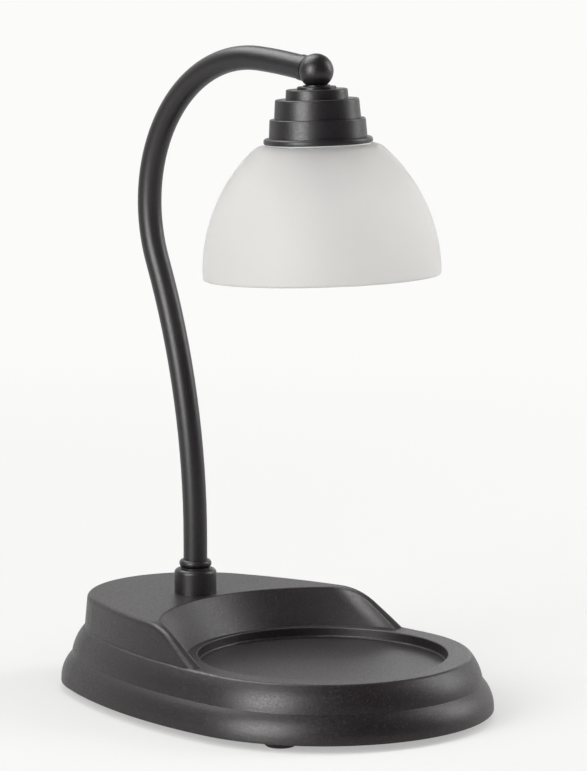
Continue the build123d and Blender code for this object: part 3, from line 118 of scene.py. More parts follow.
# Studio: a white background behind the lamp and a dimmer room on the camera's side.
# What the coat and the glass reflect is bright behind the lamp, darker overhead and almost
# black behind the camera. What lights them is one even room.
camera_turn, camera_rise = radians(43.817), radians(8.520)
away = Vector((sin(camera_turn) * cos(camera_rise), cos(camera_turn) * cos(camera_rise), -sin(camera_rise)))
world = bpy.data.worlds.new("studio")
world.use_nodes = True
bpy.context.scene.world = world
tree = world.node_tree
tree.nodes.clear()
place = add_node(tree, "ShaderNodeTexCoord")
facing = add_node(tree, "ShaderNodeVectorMath", {0: place.outputs["Generated"], 1: away},
                  operation="DOT_PRODUCT")
behind = add_node(tree, "ShaderNodeMapRange",
                  {"Value": facing.outputs["Value"], "From Min": -0.1, "From Max": 0.65,
                   "To Min": 0.05, "To Max": 1.0}, interpolation_type="SMOOTHSTEP")
axes = add_node(tree, "ShaderNodeSeparateXYZ", {"Vector": place.outputs["Generated"]})
high_up = add_node(tree, "ShaderNodeMapRange",
                   {"Value": axes.outputs["Z"], "From Min": 0.2, "From Max": 0.7,
                    "To Min": 1.0, "To Max": 0.3}, interpolation_type="SMOOTHSTEP")
reflected = add_node(tree, "ShaderNodeMath", {0: behind.outputs["Result"], 1: high_up.outputs["Result"]},
                     operation="MULTIPLY")
ray = add_node(tree, "ShaderNodeLightPath")
shiny = add_node(tree, "ShaderNodeMath",
                 {0: ray.outputs["Is Glossy Ray"], 1: ray.outputs["Is Transmission Ray"]},
                 operation="MAXIMUM")
room = add_node(tree, "ShaderNodeBackground", {"Color": paint("#ffffff"), "Strength": 0.54})
mirror = add_node(tree, "ShaderNodeBackground", {"Color": surround_white, "Strength": reflected.outputs[0]})
backdrop = add_node(tree, "ShaderNodeBackground", {"Color": surround_white, "Strength": 1.0})
mixed = add_node(tree, "ShaderNodeMixShader", {0: shiny.outputs[0], 1: room.outputs[0], 2: mirror.outputs[0]})
mixed = add_node(tree, "ShaderNodeMixShader",
                 {0: ray.outputs["Is Camera Ray"], 1: mixed.outputs[0], 2: backdrop.outputs[0]})
add_node(tree, "ShaderNodeOutputWorld", {"Surface": mixed.outputs[0]})

# Softboxes and white sheets round the lamp: two on the left, one on the right, one overhead, two behind.
# Those without glossy only shade the lamp, and those without diffuse only show as gleams in its
# coat, so shading and gleams are each as soft and strong as in the photograph.
lamp_middle = Vector((0, 0, 0.16))


def softbox(name, turn, rise, distance, width, height, power, diffuse=True, glossy=True):
    """Area light aimed at the lamp; turn is in degrees right of the camera, rise above the table."""
    heading, rise = radians(turn) - camera_turn, radians(rise)
    toward = Vector((sin(heading) * cos(rise), -cos(heading) * cos(rise), sin(rise)))
    data = bpy.data.lights.new(name, "AREA")
    data.shape = "RECTANGLE"
    data.size = width
    data.size_y = height
    data.energy = power
    box = bpy.data.objects.new(name, data)
    bpy.context.scene.collection.objects.link(box)
    box.location = lamp_middle + toward * distance
    box.rotation_euler = toward.to_track_quat("Z", "Y").to_euler()
    box.visible_camera = False
    box.visible_diffuse = diffuse
    box.visible_glossy = glossy
    box.visible_transmission = diffuse


softbox("left_softbox", turn=-42, rise=26, distance=1.6, width=0.75, height=1.1, power=8, glossy=False)
softbox("left_strip", turn=-42, rise=17.5, distance=1.5, width=0.8, height=1.05, power=32, diffuse=False)
softbox("right_softbox", turn=106, rise=24, distance=1.8, width=0.7, height=1.2, power=16)
softbox("top_softbox", turn=-8, rise=82, distance=1.6, width=0.9, height=0.9, power=5, glossy=False)
softbox("rear_sheet", turn=-126, rise=60, distance=1.5, width=1.3, height=1.1, power=27, diffuse=False)
softbox("low_rear_sheet", turn=164, rise=11, distance=1.9, width=0.8, height=0.3, power=1.8, diffuse=False)

# Camera: a long lens a little over two metres off, front left and just above the table.
# Its place was solved from the seat's circle, the base's outline and the cap's and shade's rims.
camera_aim, camera_distance = Vector((0.01667, 0, 0.15752)), 2.1
lens_data = bpy.data.cameras.new("photo_camera")
lens_data.lens = 198.4
lens_data.sensor_width = 36.0
camera = bpy.data.objects.new("photo_camera", lens_data)
bpy.context.scene.collection.objects.link(camera)
camera.location = camera_aim - away * camera_distance
camera.rotation_euler = (-away).to_track_quat("Z", "Y").to_euler()
bpy.context.scene.camera = camera
bpy.context.scene.view_settings.view_transform = "Standard"


# Base casting: die-cast zinc with two rounded tiers, a raised back and a scooped seat.
# Blasted, then powder coated dark bronze and baked, which leaves a fine satin grain.
# The grain is drawn coarser than on the real lamp, because at this size it wouldn't show.
def coat(name, dark, light, fleck, roughness, grain_mm, relief_mm, cloud_mm=22):
    """Baked powder coat: dark pigment with a fine orange-peel grain, duller specks and pale flecks."""
    material, tree = bare_material(name)
    place = add_node(tree, "ShaderNodeTexCoord").outputs["Object"]
    grain = add_node(tree, "ShaderNodeTexNoise",
                     {"Vector": place, "Scale": 1000 / grain_mm, "Detail": 3.0, "Roughness": 0.6})
    cloud = add_node(tree, "ShaderNodeTexNoise",
                     {"Vector": place, "Scale": 1000 / cloud_mm, "Detail": 2.0})
    speck = add_node(tree, "ShaderNodeTexVoronoi", {"Vector": place, "Scale": 1000 / (grain_mm * 0.8)})
    # Sockets 6 and 7 of a Mix node are its two colours.
    tint = add_node(tree, "ShaderNodeMix", {0: cloud.outputs["Fac"], 6: paint(dark), 7: paint(light)},
                    data_type="RGBA")
    flecks = add_node(tree, "ShaderNodeMapRange",
                      {"Value": grain.outputs["Fac"], "From Min": 0.54, "From Max": 0.68, "To Max": 0.7})
    tint = add_node(tree, "ShaderNodeMix",
                    {0: flecks.outputs["Result"], 6: tint.outputs[2], 7: paint(fleck)}, data_type="RGBA")
    patch = add_node(tree, "ShaderNodeMapRange",
                     {"Value": speck.outputs["Distance"], "From Min": 0.1, "From Max": 0.8,
                      "To Min": roughness - 0.07, "To Max": roughness + 0.09})
    bump = add_node(tree, "ShaderNodeBump",
                    {"Height": grain.outputs["Fac"], "Strength": 0.55, "Distance": relief_mm / 1000})
    shader = add_node(tree, "ShaderNodeBsdfPrincipled",
                      {"Base Color": tint.outputs[2], "Roughness": patch.outputs["Result"], "IOR": 1.5,
                       "Normal": bump.outputs["Normal"]})
    add_node(tree, "ShaderNodeOutputMaterial", {"Surface": shader.outputs[0]})
    return material


def dress(material, slot, *names):
    """Gives CAD nodes their finish."""
    for name in names:
        cad[name].data.materials.clear()
        cad[name].data.materials.append(material)


# Bronze powder on blasted zinc: near black with a faint plum cast, broad soft gleams, pale pinpoints.
casting_coat = coat("bronze_casting_coat", dark="#150e13", light="#1f171d", fleck="#3c3032",
                    roughness=0.41, grain_mm=1.0, relief_mm=0.1)
dress(casting_coat, "powder_coat", "base_shell")

# Bottom cover: flat steel plate let into the casting and held by four slotted screws.
# It is sprayed with the same kind of powder, only duller, because nobody sees it.
# Thin dull powder on sheet steel: flat charcoal with hardly a gleam.
cover_coat = coat("dull_cover_coat", dark="#1a1818", light="#211e1e", fleck="#2c2826",
                  roughness=0.58, grain_mm=0.9, relief_mm=0.05)
dress(cover_coat, "cover_coat", "bottom_cover")


# Screws and small steel parts: the screws of the cover, ballast, block and holder, the earth tag,
# the swivel's plate and spring washer, and the nipple, bracket, washer and nut in the head.
# Turned or stamped from mild steel, then zinc plated in a barrel.
def plated(name, pale, dark, roughness, mottle_mm=2.5):
    """Barrel-plated steel or bare turned metal: even grey with faint mottling and a slight unevenness."""
    material, tree = bare_material(name)
    place = add_node(tree, "ShaderNodeTexCoord").outputs["Object"]
    mottle = add_node(tree, "ShaderNodeTexNoise",
                      {"Vector": place, "Scale": 1000 / mottle_mm, "Detail": 4.0})
    tint = add_node(tree, "ShaderNodeMix", {0: mottle.outputs["Fac"], 6: paint(pale), 7: paint(dark)},
                    data_type="RGBA")
    rough = add_node(tree, "ShaderNodeMapRange",
                     {"Value": mottle.outputs["Fac"], "To Min": roughness - 0.08, "To Max": roughness + 0.1})
    bump = add_node(tree, "ShaderNodeBump",
                    {"Height": mottle.outputs["Fac"], "Strength": 0.25, "Distance": 0.00003})
    shader = add_node(tree, "ShaderNodeBsdfPrincipled",
                      {"Base Color": tint.outputs[2], "Metallic": 1.0, "Roughness": rough.outputs["Result"],
                       "Normal": bump.outputs["Normal"]})
    add_node(tree, "ShaderNodeOutputMaterial", {"Surface": shader.outputs[0]})
    return material


# Bright zinc: cool pale grey with a half gloss, a little cloudy from tumbling in the barrel.
zinc_plate = plated("zinc_plated_steel", pale="#c9cbcc", dark="#a7aaac", roughness=0.34)
dress(zinc_plate, "plated_steel", "cover_screws", "ballast_screws", "block_screw", "earth_screw", "earth_tag",
      "stop_plate", "spring_washer", "head_nipple", "holder_bracket",
      "head_lock_washer", "head_nut", "holder_screws", "terminal_screws")


# Feet: four black rubber mouldings with ribbed soles, pushed up through holes in the cover.
# A barb on top of each one snaps in behind the sheet and holds it.
def dull_moulding(name, dark, light, roughness, texture_mm=0.5, dust_mm=6):
    """Rubber or fibre pressed in a blasted mould: matte and faintly dusty, with a fine texture."""
    material, tree = bare_material(name)
    place = add_node(tree, "ShaderNodeTexCoord").outputs["Object"]
    texture = add_node(tree, "ShaderNodeTexNoise",
                       {"Vector": place, "Scale": 1000 / texture_mm, "Detail": 3.0})
    dust = add_node(tree, "ShaderNodeTexNoise", {"Vector": place, "Scale": 1000 / dust_mm, "Detail": 3.0})
    tint = add_node(tree, "ShaderNodeMix", {0: dust.outputs["Fac"], 6: paint(dark), 7: paint(light)},
                    data_type="RGBA")
    bump = add_node(tree, "ShaderNodeBump",
                    {"Height": texture.outputs["Fac"], "Strength": 0.5, "Distance": 0.00005})
    rough = add_node(tree, "ShaderNodeMapRange",
                     {"Value": dust.outputs["Fac"], "To Min": roughness - 0.06, "To Max": roughness + 0.08})
    shader = add_node(tree, "ShaderNodeBsdfPrincipled",
                      {"Base Color": tint.outputs[2], "Roughness": rough.outputs["Result"], "IOR": 1.52,
                       "Normal": bump.outputs["Normal"]})
    add_node(tree, "ShaderNodeOutputMaterial", {"Surface": shader.outputs[0]})
    return material


def spin(form, rings, steps, place, closed=True):
    """Adds a turned form to a bmesh; each ring is (radius, along), or gives them for an angle."""
    rows = []
    for ring in rings:
        row = []
        for step in range(steps):
            angle = 2 * pi * step / steps
            out, along = ring(angle) if callable(ring) else ring
            row.append(form.verts.new(place @ Vector((out * cos(angle), out * sin(angle), along))))
        rows.append(row)
    for low, high in zip(rows, rows[1:] + rows[:1] if closed else rows[1:]):
        for step in range(steps):
            after = (step + 1) % steps
            form.faces.new((low[step], low[after], high[after], high[step]))
    if not closed:
        form.faces.new(rows[0])
        form.faces.new(rows[-1])


def piece(form, name, body, material, slot, *nodes, crease=35, cavity=()):
    """Turns a bmesh into a finished piece that rides on a body; a cavity's faces look into the hollow."""
    bmesh.ops.recalc_face_normals(form, faces=form.faces)
    bmesh.ops.reverse_faces(form, faces=list(cavity))
    mesh = bpy.data.meshes.new(name)
    form.to_mesh(mesh)
    form.free()
    mesh.polygons.foreach_set("use_smooth", [True] * len(mesh.polygons))
    mesh.set_sharp_from_angle(angle=radians(crease))
    mesh.materials.append(material)
    made = bpy.data.objects.new(name, mesh)
    bpy.context.scene.collection.objects.link(made)
    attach(made, body)
    if nodes:
        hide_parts(*nodes)


def standing(x, y):
    """Upright place on the table, with millimetres for units."""
    return Matrix.Translation((x / 1000, y / 1000, 0)) @ Matrix.Scale(0.001, 4)


# Black rubber: matte and a little grey with dust, with the grain of a blasted mould. That grain is
# drawn at half a millimetre, coarser than it is, so that it shows.
black_rubber = dull_moulding("moulded_black_rubber", dark="#161616", light="#232322", roughness=0.72)

foot_places = ((60, -71), (-60, -71), (37, 91), (-37, 91))
sole_ribs = [(0.05, 0.6), (1.3, 0.6), (1.5, 0.0), (2.3, 0.0), (2.5, 0.4), (2.9, 0.4), (3.1, 0.0),
             (3.9, 0.0), (4.1, 0.4), (4.5, 0.4), (4.7, 0.0), (6.3, 0.0), (6.8, 0.15)]
foot_side = [(7.5, 0.75), (8.2, 1.5), (8.7, 2.3), (9.05, 3.1), (9.22, 3.8), (9.2, 4.2), (9.0, 4.5)]
foot_barb = [(2.9, 4.5), (2.9, 6.5), (4.1, 6.5), (4.1, 6.8), (3.4, 7.6), (2.6, 8.1), (0.05, 8.1)]
feet = bmesh.new()
for foot_x, foot_y in foot_places:
    spin(feet, sole_ribs + foot_side + foot_barb, steps=72, place=standing(foot_x, foot_y), closed=False)
piece(feet, "rubber_feet", "base", black_rubber, "rubber", "feet")

# Cord bushing: a ring of the same rubber, pressed into the cord's hole at the back of the base.
# A lip inside and a flange outside hold it, and its rounded mouth saves a cord from chafing.
bore = [(3.1, 1.2), (3.1, 5.2)]
flange = [(3.2, 5.8), (3.5, 6.3), (3.9, 6.55), (4.4, 6.6), (4.9, 6.4), (5.15, 6.0), (5.2, 5.6), (5.2, 5.3)]
waist = [(4.3, 5.3), (4.3, 1.3)]
inner_lip = [(4.9, 1.3), (4.8, 0.7), (4.5, 0.0), (3.6, 0.0), (3.25, 0.4)]
low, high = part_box("cord_grommet")
inlet_place = (Matrix.Translation((0, low.y, (low.z + high.z) / 2))
               @ Matrix.Rotation(-pi / 2, 4, "X") @ Matrix.Scale(0.001, 4))
bushing = bmesh.new()
spin(bushing, bore + flange + waist + inner_lip, steps=64, place=inlet_place)
piece(bushing, "cord_bushing", "base", black_rubber, "rubber", "cord_grommet")

# Ballast: a disc flame-cut from iron plate, screwed up under the candle seat.
# It is left as the mill rolled it, because the cover hides it.
# Mill scale: cloudy blue-grey, dull, with rusty freckles where it has flaked off.
cloud_mm, freckle_mm = 9, 1.6
iron, tree = bare_material("scaled_iron_plate")
place = add_node(tree, "ShaderNodeTexCoord").outputs["Object"]
cloud = add_node(tree, "ShaderNodeTexNoise", {"Vector": place, "Scale": 1000 / cloud_mm, "Detail": 6.0})
freckle = add_node(tree, "ShaderNodeTexNoise",
                   {"Vector": place, "Scale": 1000 / freckle_mm, "Detail": 5.0})
tint = add_node(tree, "ShaderNodeMix",
                {0: cloud.outputs["Fac"], 6: paint("#4a4b4e"), 7: paint("#6a6a6b")}, data_type="RGBA")
rusty = add_node(tree, "ShaderNodeMapRange",
                 {"Value": freckle.outputs["Fac"], "From Min": 0.62, "From Max": 0.72})
tint = add_node(tree, "ShaderNodeMix",
                {0: rusty.outputs["Result"], 6: tint.outputs[2], 7: paint("#6b4632")}, data_type="RGBA")
bump = add_node(tree, "ShaderNodeBump",
                {"Height": freckle.outputs["Fac"], "Strength": 0.5, "Distance": 0.00015})
shader = add_node(tree, "ShaderNodeBsdfPrincipled",
                  {"Base Color": tint.outputs[2], "Metallic": 0.7, "Roughness": 0.6,
                   "Normal": bump.outputs["Normal"]})
add_node(tree, "ShaderNodeOutputMaterial", {"Surface": shader.outputs[0]})
dress(iron, "iron", "ballast_plate")


# Terminal block: white moulded polyamide with three brass sleeves and plated clamp screws.
# It hangs under the deck on one screw, and the mains leads meet in it.
def moulded(name, pale, dark, roughness, clarity, flow_mm=4):
    """Moulded or extruded plastic, or ceramic: smooth with faint flow marks; clarity lets light in."""
    material, tree = bare_material(name)
    place = add_node(tree, "ShaderNodeTexCoord").outputs["Object"]
    flow = add_node(tree, "ShaderNodeTexNoise",
                    {"Vector": place, "Scale": 1000 / flow_mm, "Detail": 2.0, "Distortion": 1.2})
    tint = add_node(tree, "ShaderNodeMix", {0: flow.outputs["Fac"], 6: paint(pale), 7: paint(dark)},
                    data_type="RGBA")
    rough = add_node(tree, "ShaderNodeMapRange",
                     {"Value": flow.outputs["Fac"], "To Min": roughness - 0.05, "To Max": roughness + 0.05})
    bump = add_node(tree, "ShaderNodeBump",
                    {"Height": flow.outputs["Fac"], "Strength": 0.2, "Distance": 0.00004})
    shader = add_node(tree, "ShaderNodeBsdfPrincipled",
                      {"Base Color": tint.outputs[2], "Roughness": rough.outputs["Result"], "IOR": 1.53,
                       "Subsurface Weight": clarity, "Subsurface Scale": 0.002,
                       "Normal": bump.outputs["Normal"]})
    add_node(tree, "ShaderNodeOutputMaterial", {"Surface": shader.outputs[0]})
    return material


# White polyamide: creamy, a little waxy, and light sinks into its edges.
polyamide = moulded("white_polyamide", pale="#e9e7df", dark="#dfdcd2", roughness=0.42, clarity=0.1)
dress(polyamide, "block_plastic", "terminal_block")
# Turned brass: warm yellow with a clean, fairly sharp gleam.
dress(plated("turned_brass", pale="#d9b45f", dark="#c49a45", roughness=0.3), "brass", "terminal_sleeves")

# Leads: black round mains lead with a brown and a blue core, and a green and yellow earth.
# Soft PVC, extruded round the copper, that runs from the block up through the neck.
# Black PVC: smooth deep black with a low, slightly greasy gloss.
pvc_sheath = moulded("black_pvc_sheath", pale="#1b1b1c", dark="#242425", roughness=0.48, clarity=0.0)
dress(pvc_sheath, "lead_sheath", "base_lead", "neck_lead")


def core_colours(name, middle_x, haze_mm=3):
    """Coloured PVC: brown core on the left of middle_x and blue core on its right, both half glossy."""
    material, tree = bare_material(name)
    place = add_node(tree, "ShaderNodeTexCoord").outputs["Object"]
    axes = add_node(tree, "ShaderNodeSeparateXYZ", {"Vector": place})
    right = add_node(tree, "ShaderNodeMath", {0: axes.outputs["X"], 1: middle_x}, operation="GREATER_THAN")
    haze = add_node(tree, "ShaderNodeTexNoise", {"Vector": place, "Scale": 1000 / haze_mm})
    tint = add_node(tree, "ShaderNodeMix",
                    {0: right.outputs[0], 6: paint("#5a3220"), 7: paint("#1f5fa8")}, data_type="RGBA")
    rough = add_node(tree, "ShaderNodeMapRange",
                     {"Value": haze.outputs["Fac"], "To Min": 0.38, "To Max": 0.5})
    shader = add_node(tree, "ShaderNodeBsdfPrincipled",
                      {"Base Color": tint.outputs[2], "Roughness": rough.outputs["Result"], "IOR": 1.53})
    add_node(tree, "ShaderNodeOutputMaterial", {"Surface": shader.outputs[0]})
    return material


dress(core_colours("brown_and_blue_cores", middle_x=-0.0245), "core", "base_cores")
dress(core_colours("brown_and_blue_head_cores", middle_x=0.0), "core", "head_cores")

# Two-colour PVC: green, crossed by bold slanting yellow stripes. They lie about 9 mm apart, because
# the wave texture repeats after 0.63 of its step.
wave_step_mm = 14
earth, tree = bare_material("green_yellow_earth_core")
place = add_node(tree, "ShaderNodeTexCoord").outputs["Object"]
stripe = add_node(tree, "ShaderNodeTexWave",
                  {"Vector": place, "Scale": 1000 / wave_step_mm, "Distortion": 0.3},
                  bands_direction="DIAGONAL")
edge = add_node(tree, "ShaderNodeMapRange",
                {"Value": stripe.outputs["Fac"], "From Min": 0.47, "From Max": 0.53})
tint = add_node(tree, "ShaderNodeMix",
                {0: edge.outputs["Result"], 6: paint("#3f8f3a"), 7: paint("#e3c92c")}, data_type="RGBA")
shader = add_node(tree, "ShaderNodeBsdfPrincipled",
                  {"Base Color": tint.outputs[2], "Roughness": 0.44, "IOR": 1.53})
add_node(tree, "ShaderNodeOutputMaterial", {"Surface": shader.outputs[0]})
dress(earth, "earth_core", "earth_lead")

# Neck, ball and cap: bent steel tube with turned collar, ring, ferrule and ball, and a cap spun in
# three steps. They are screwed together after coating, and the neck turns in its collar.
# Bronze powder on smooth metal: as dark as the base, but finer in grain and a little glossier.
bronze_coat = coat("bronze_powder_coat", dark="#120e12", light="#1b151a", fleck="#2c2528",
                   roughness=0.38, grain_mm=0.8, relief_mm=0.07)
dress(bronze_coat, "powder_coat", "neck_collar", "neck_ring", "neck_tube", "tube_ferrule", "ball_elbow",
      "elbow_spacer", "head_washer", "shade_cap")

# Swivel under the deck: black acetal bearing, red fibre washer, and a hollow steel stem, threaded and
# plated, whose two nuts are tightened until the neck turns with a light drag.
# Acetal: plain black with a soft waxy gleam.
acetal = moulded("black_acetal", pale="#151515", dark="#1b1b1b", roughness=0.4, clarity=0.0)
dress(acetal, "bearing_plastic", "swivel_bush")
# Vulcanised fibre: dull brick red, like hard card.
red_fibre = dull_moulding("red_vulcanised_fibre", dark="#6d2f22", light="#813c2c", roughness=0.6)
dress(red_fibre, "fibre", "friction_washer")


def thread(crest, depth, pitch, along):
    """Ring of a right-hand V thread; crest is the radius of its crests."""
    return lambda angle: (crest - depth * abs(2 * ((along / pitch - angle / (2 * pi)) % 1) - 1), along)


neck_y = 54
low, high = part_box("swivel_stem")
bottom, top = low.z * 1000, high.z * 1000
stem_end = [(3.2, bottom + 0.3), (3.5, bottom), (4.4, bottom)]
stem_turns = [thread(crest=4.95, depth=0.5, pitch=1.0, along=bottom + 0.5 + row / 6) for row in range(78)]
stem_shank = [(4.4, bottom + 13.6), (4.95, bottom + 14.0), (4.95, top - 0.4), (4.6, top), (3.5, top),
              (3.2, top - 0.3)]
stem = bmesh.new()
spin(stem, stem_end + stem_turns + stem_shank, steps=72, place=standing(0, neck_y))
piece(stem, "threaded_stem", "arm", zinc_plate, "plated_steel", "swivel_stem")


def hexagon(flat, limit, first, along):
    """Ring of a hexagon bar, turned down to a limit at its chamfers; first is a corner's angle."""
    return lambda angle: (min(limit, flat / cos((angle - first) % (pi / 3) - pi / 6)), along)


nut_flat = 7.5
for node, first in (("swivel_nut", 0), ("lock_nut", pi / 6)):
    low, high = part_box(node)
    bottom, top = low.z * 1000, high.z * 1000
    chamfers = [(7.1, bottom), (7.6, bottom + 0.28), (8.15, bottom + 0.6), (8.66, bottom + 0.9),
                (8.66, top - 0.9), (8.15, top - 0.6), (7.6, top - 0.28), (7.1, top)]
    outside = [hexagon(nut_flat, limit, first, along) for limit, along in chamfers]
    hole = [(5.5, top), (5.0, top - 0.5), (5.0, bottom + 0.5), (5.5, bottom)]
    nut = bmesh.new()
    spin(nut, outside + hole, steps=72, place=standing(0, neck_y))
    piece(nut, node + "_chamfered", "arm", zinc_plate, "plated_steel", node, crease=25)

# Lampholder: glazed steatite block with two sprung bronze contacts, screwed to a steel bracket.
# A sleeve turned from aluminium tube surrounds it and carries the shade.
# Turned aluminium: pale grey and half matte, with soft-edged gleams.
sleeve_metal = plated("turned_aluminium", pale="#b4b6b8", dark="#9fa2a5", roughness=0.42)
dress(sleeve_metal, "sleeve_aluminium", "holder_skirt")
# Glazed steatite: warm cream with an even, soft sheen.
ceramic = moulded("steatite_ceramic", pale="#ece7da", dark="#e2dccd", roughness=0.5, clarity=0.1)
dress(ceramic, "ceramic", "lampholder")
# Phosphor bronze: browner and a little duller than brass.
dress(plated("contact_bronze", pale="#caa05a", dark="#b58c4b", roughness=0.32), "brass", "holder_contacts")

# The whole head is turned about one leaning axis, the one that the bulb twists about. Its places
# are radii and depths in millimetres, and the depths count from the ball's centre down.
bulb_top = 33.65
twist = next(joint for joint in frame["record"]["behaviour"]["joints"] if joint["name"] == "bulb_twist")
head_down = Vector(twist["axis"]).normalized()
head_across = head_down.cross(Vector((1, 0, 0)))
ball = Vector(twist["pos_m"]) - head_down * (bulb_top / 1000)
head_axes = Matrix(((1, head_across.x, head_down.x), (0, head_across.y, head_down.y),
                    (0, head_across.z, head_down.z))).to_4x4()
head_place = Matrix.Translation(ball) @ head_axes @ Matrix.Scale(0.001, 4)

# Shade ring: turned aluminium, coated black, that screws up the sleeve under the glass.
# Twelve grip notches and fine knurling between them let a hand tighten it.
ring_top, ring_radius = 39.05, 23.5
notch_count, notch_radius, rib_count, rib_depth = 12, 1.3, 144, 0.22


def knurl(out, along):
    """Ring of the knurled rim: fine ribs, with round notches cut across it."""
    def at(angle):
        half_gap = pi / notch_count
        from_notch = abs((angle + half_gap) % (2 * half_gap) - half_gap) * ring_radius
        notch = max(0, notch_radius ** 2 - from_notch ** 2) ** 0.5
        rib = rib_depth * abs(((angle * rib_count / pi) % 2) - 1) if from_notch > notch_radius else 0
        return out - max(notch, rib), along
    return at


rim = [(22.6, ring_top), knurl(23.1, ring_top + 0.15), knurl(ring_radius, ring_top + 0.7),
       knurl(ring_radius, ring_top + 4.3), knurl(23.1, ring_top + 4.85), (21.6, ring_top + 5.0)]
under_face = [(21.3, ring_top + 4.7), (20.0, ring_top + 4.7), (19.7, ring_top + 5.0), (18.9, ring_top + 5.0)]
ring_turns = [thread(crest=18.75, depth=0.55, pitch=2.0, along=ring_top + 0.6 + row * 3.8 / 12)
              for row in range(13)]
ring = bmesh.new()
spin(ring, rim + under_face + ring_turns[::-1] + [(18.9, ring_top)], steps=432, place=head_place)
# Black baked coat on turned metal: neutral black, smooth, with thin bright edges on the ribs.
ring_coat = coat("black_ring_coat", dark="#191818", light="#212020", fleck="#262424",
                 roughness=0.36, grain_mm=0.6, relief_mm=0.03)
piece(ring, "knurled_shade_ring", "ring", ring_coat, "ring_coat", "shade_ring")

# Thread on the sleeve: rolled into the aluminium tube's open end, two millimetres to the turn.
# The shade ring runs on it, and it shows bright once the shade is let down.
thread_top, thread_bottom = 35.8, 45.2
sleeve_turns = [thread(crest=18.5, depth=0.45, pitch=2.0, along=36.0 + row / 4) for row in range(37)]
sleeve_thread = bmesh.new()
spin(sleeve_thread, [(17.6, thread_top), (18.0, thread_top)] + sleeve_turns
     + [(18.0, thread_bottom), (17.6, thread_bottom)], steps=144, place=head_place)
piece(sleeve_thread, "rolled_sleeve_thread", "arm", sleeve_metal, "sleeve_aluminium")

# Gaskets: two flat rings stamped from white silicone sheet, one above the glass and one below it.
# They keep the glass off the metal and let the ring grip it without cracking it.
# Silicone: milky white and soft-looking, with light inside its edge.
silicone = moulded("white_silicone", pale="#e8e8e6", dark="#dcdcd9", roughness=0.55, clarity=0.3)
dress(silicone, "silicone", "upper_gasket", "lower_gasket")

# Glass shade: pressed clear glass, acid-etched inside and out until it is white.
# The shade ring clamps it under the cap by the edge of its top hole, between two gaskets.
etch_mm, wave_mm = 0.5, 35
# Etched glass: it glows softly without showing shapes, with a low sheen. It is etched less near the
# neck, where the dark ring shows through a little. The etch is drawn coarser than it is.
frosted, tree = bare_material("etched_white_glass")
place = add_node(tree, "ShaderNodeTexCoord").outputs["Object"]
etch = add_node(tree, "ShaderNodeTexNoise", {"Vector": place, "Scale": 1000 / etch_mm, "Detail": 2.0})
wave = add_node(tree, "ShaderNodeTexNoise", {"Vector": place, "Scale": 1000 / wave_mm, "Detail": 1.0})
tint = add_node(tree, "ShaderNodeMix",
                {0: wave.outputs["Fac"], 6: paint("#efeeec"), 7: paint("#eae9e7")}, data_type="RGBA")
rough = add_node(tree, "ShaderNodeMapRange", {"Value": etch.outputs["Fac"], "To Min": 0.6, "To Max": 0.76})
axes = add_node(tree, "ShaderNodeSeparateXYZ", {"Vector": place})
clearness = add_node(tree, "ShaderNodeMapRange",
                     {"Value": axes.outputs["Z"], "From Min": 0.248, "From Max": 0.284,
                      "To Min": 0.4, "To Max": 0.77}, interpolation_type="SMOOTHSTEP")
bump = add_node(tree, "ShaderNodeBump",
                {"Height": etch.outputs["Fac"], "Strength": 0.2, "Distance": 0.00003})
shader = add_node(tree, "ShaderNodeBsdfPrincipled",
                  {"Base Color": tint.outputs[2], "Roughness": rough.outputs["Result"], "IOR": 1.5,
                   "Transmission Weight": clearness.outputs["Result"], "Normal": bump.outputs["Normal"]})
add_node(tree, "ShaderNodeOutputMaterial", {"Surface": shader.outputs[0]})
dress(frosted, "frosted_glass", "glass_shade")

# Bulb's reflector: a pressed glass bowl whose inside is moulded in flats and coated with aluminium.
# Its neck is cemented to the bulb's base and its wide end takes the lens.
# Clear glass: colourless and sharp, with the slight waves that pressing leaves.
draw_mm, mirror_haze_mm = 12, 14
clear, tree = bare_material("clear_bulb_glass")
place = add_node(tree, "ShaderNodeTexCoord").outputs["Object"]
draw = add_node(tree, "ShaderNodeTexNoise", {"Vector": place, "Scale": 1000 / draw_mm, "Detail": 1.0})
bump = add_node(tree, "ShaderNodeBump",
                {"Height": draw.outputs["Fac"], "Strength": 0.2, "Distance": 0.0002})
shader = add_node(tree, "ShaderNodeBsdfPrincipled",
                  {"Base Color": paint("#fbfcfc"), "Roughness": 0.03, "IOR": 1.5,
                   "Transmission Weight": 1.0, "Normal": bump.outputs["Normal"]})
add_node(tree, "ShaderNodeOutputMaterial", {"Surface": shader.outputs[0]})
# Aluminium coated in a vacuum: a nearly perfect mirror, hazier in patches.
mirrored, tree = bare_material("vacuum_aluminised_glass")
place = add_node(tree, "ShaderNodeTexCoord").outputs["Object"]
haze = add_node(tree, "ShaderNodeTexNoise",
                {"Vector": place, "Scale": 1000 / mirror_haze_mm, "Detail": 2.0})
tint = add_node(tree, "ShaderNodeMix",
                {0: haze.outputs["Fac"], 6: paint("#eceef0"), 7: paint("#e2e4e8")}, data_type="RGBA")
rough = add_node(tree, "ShaderNodeMapRange", {"Value": haze.outputs["Fac"], "To Min": 0.04, "To Max": 0.09})
shader = add_node(tree, "ShaderNodeBsdfPrincipled",
                  {"Base Color": tint.outputs[2], "Metallic": 1.0, "Roughness": rough.outputs["Result"]})
add_node(tree, "ShaderNodeOutputMaterial", {"Surface": shader.outputs[0]})

mirror_top, mirror_length, mirror_steps = 44.65, 34, 14
mirror_bottom = mirror_top + mirror_length
neck_radius, flare, closing, glass_wall = 11.4, 17.2, 3.6, 1.5
facet_count, facet_rows, facet_depth = 24, 7, 31


def mirror_radius(along, wall=0.0):
    """Reflector's radius at a depth below the ball, less its wall."""
    share = (along - mirror_top) / mirror_length
    return neck_radius + flare * share - closing * share ** 2 - wall


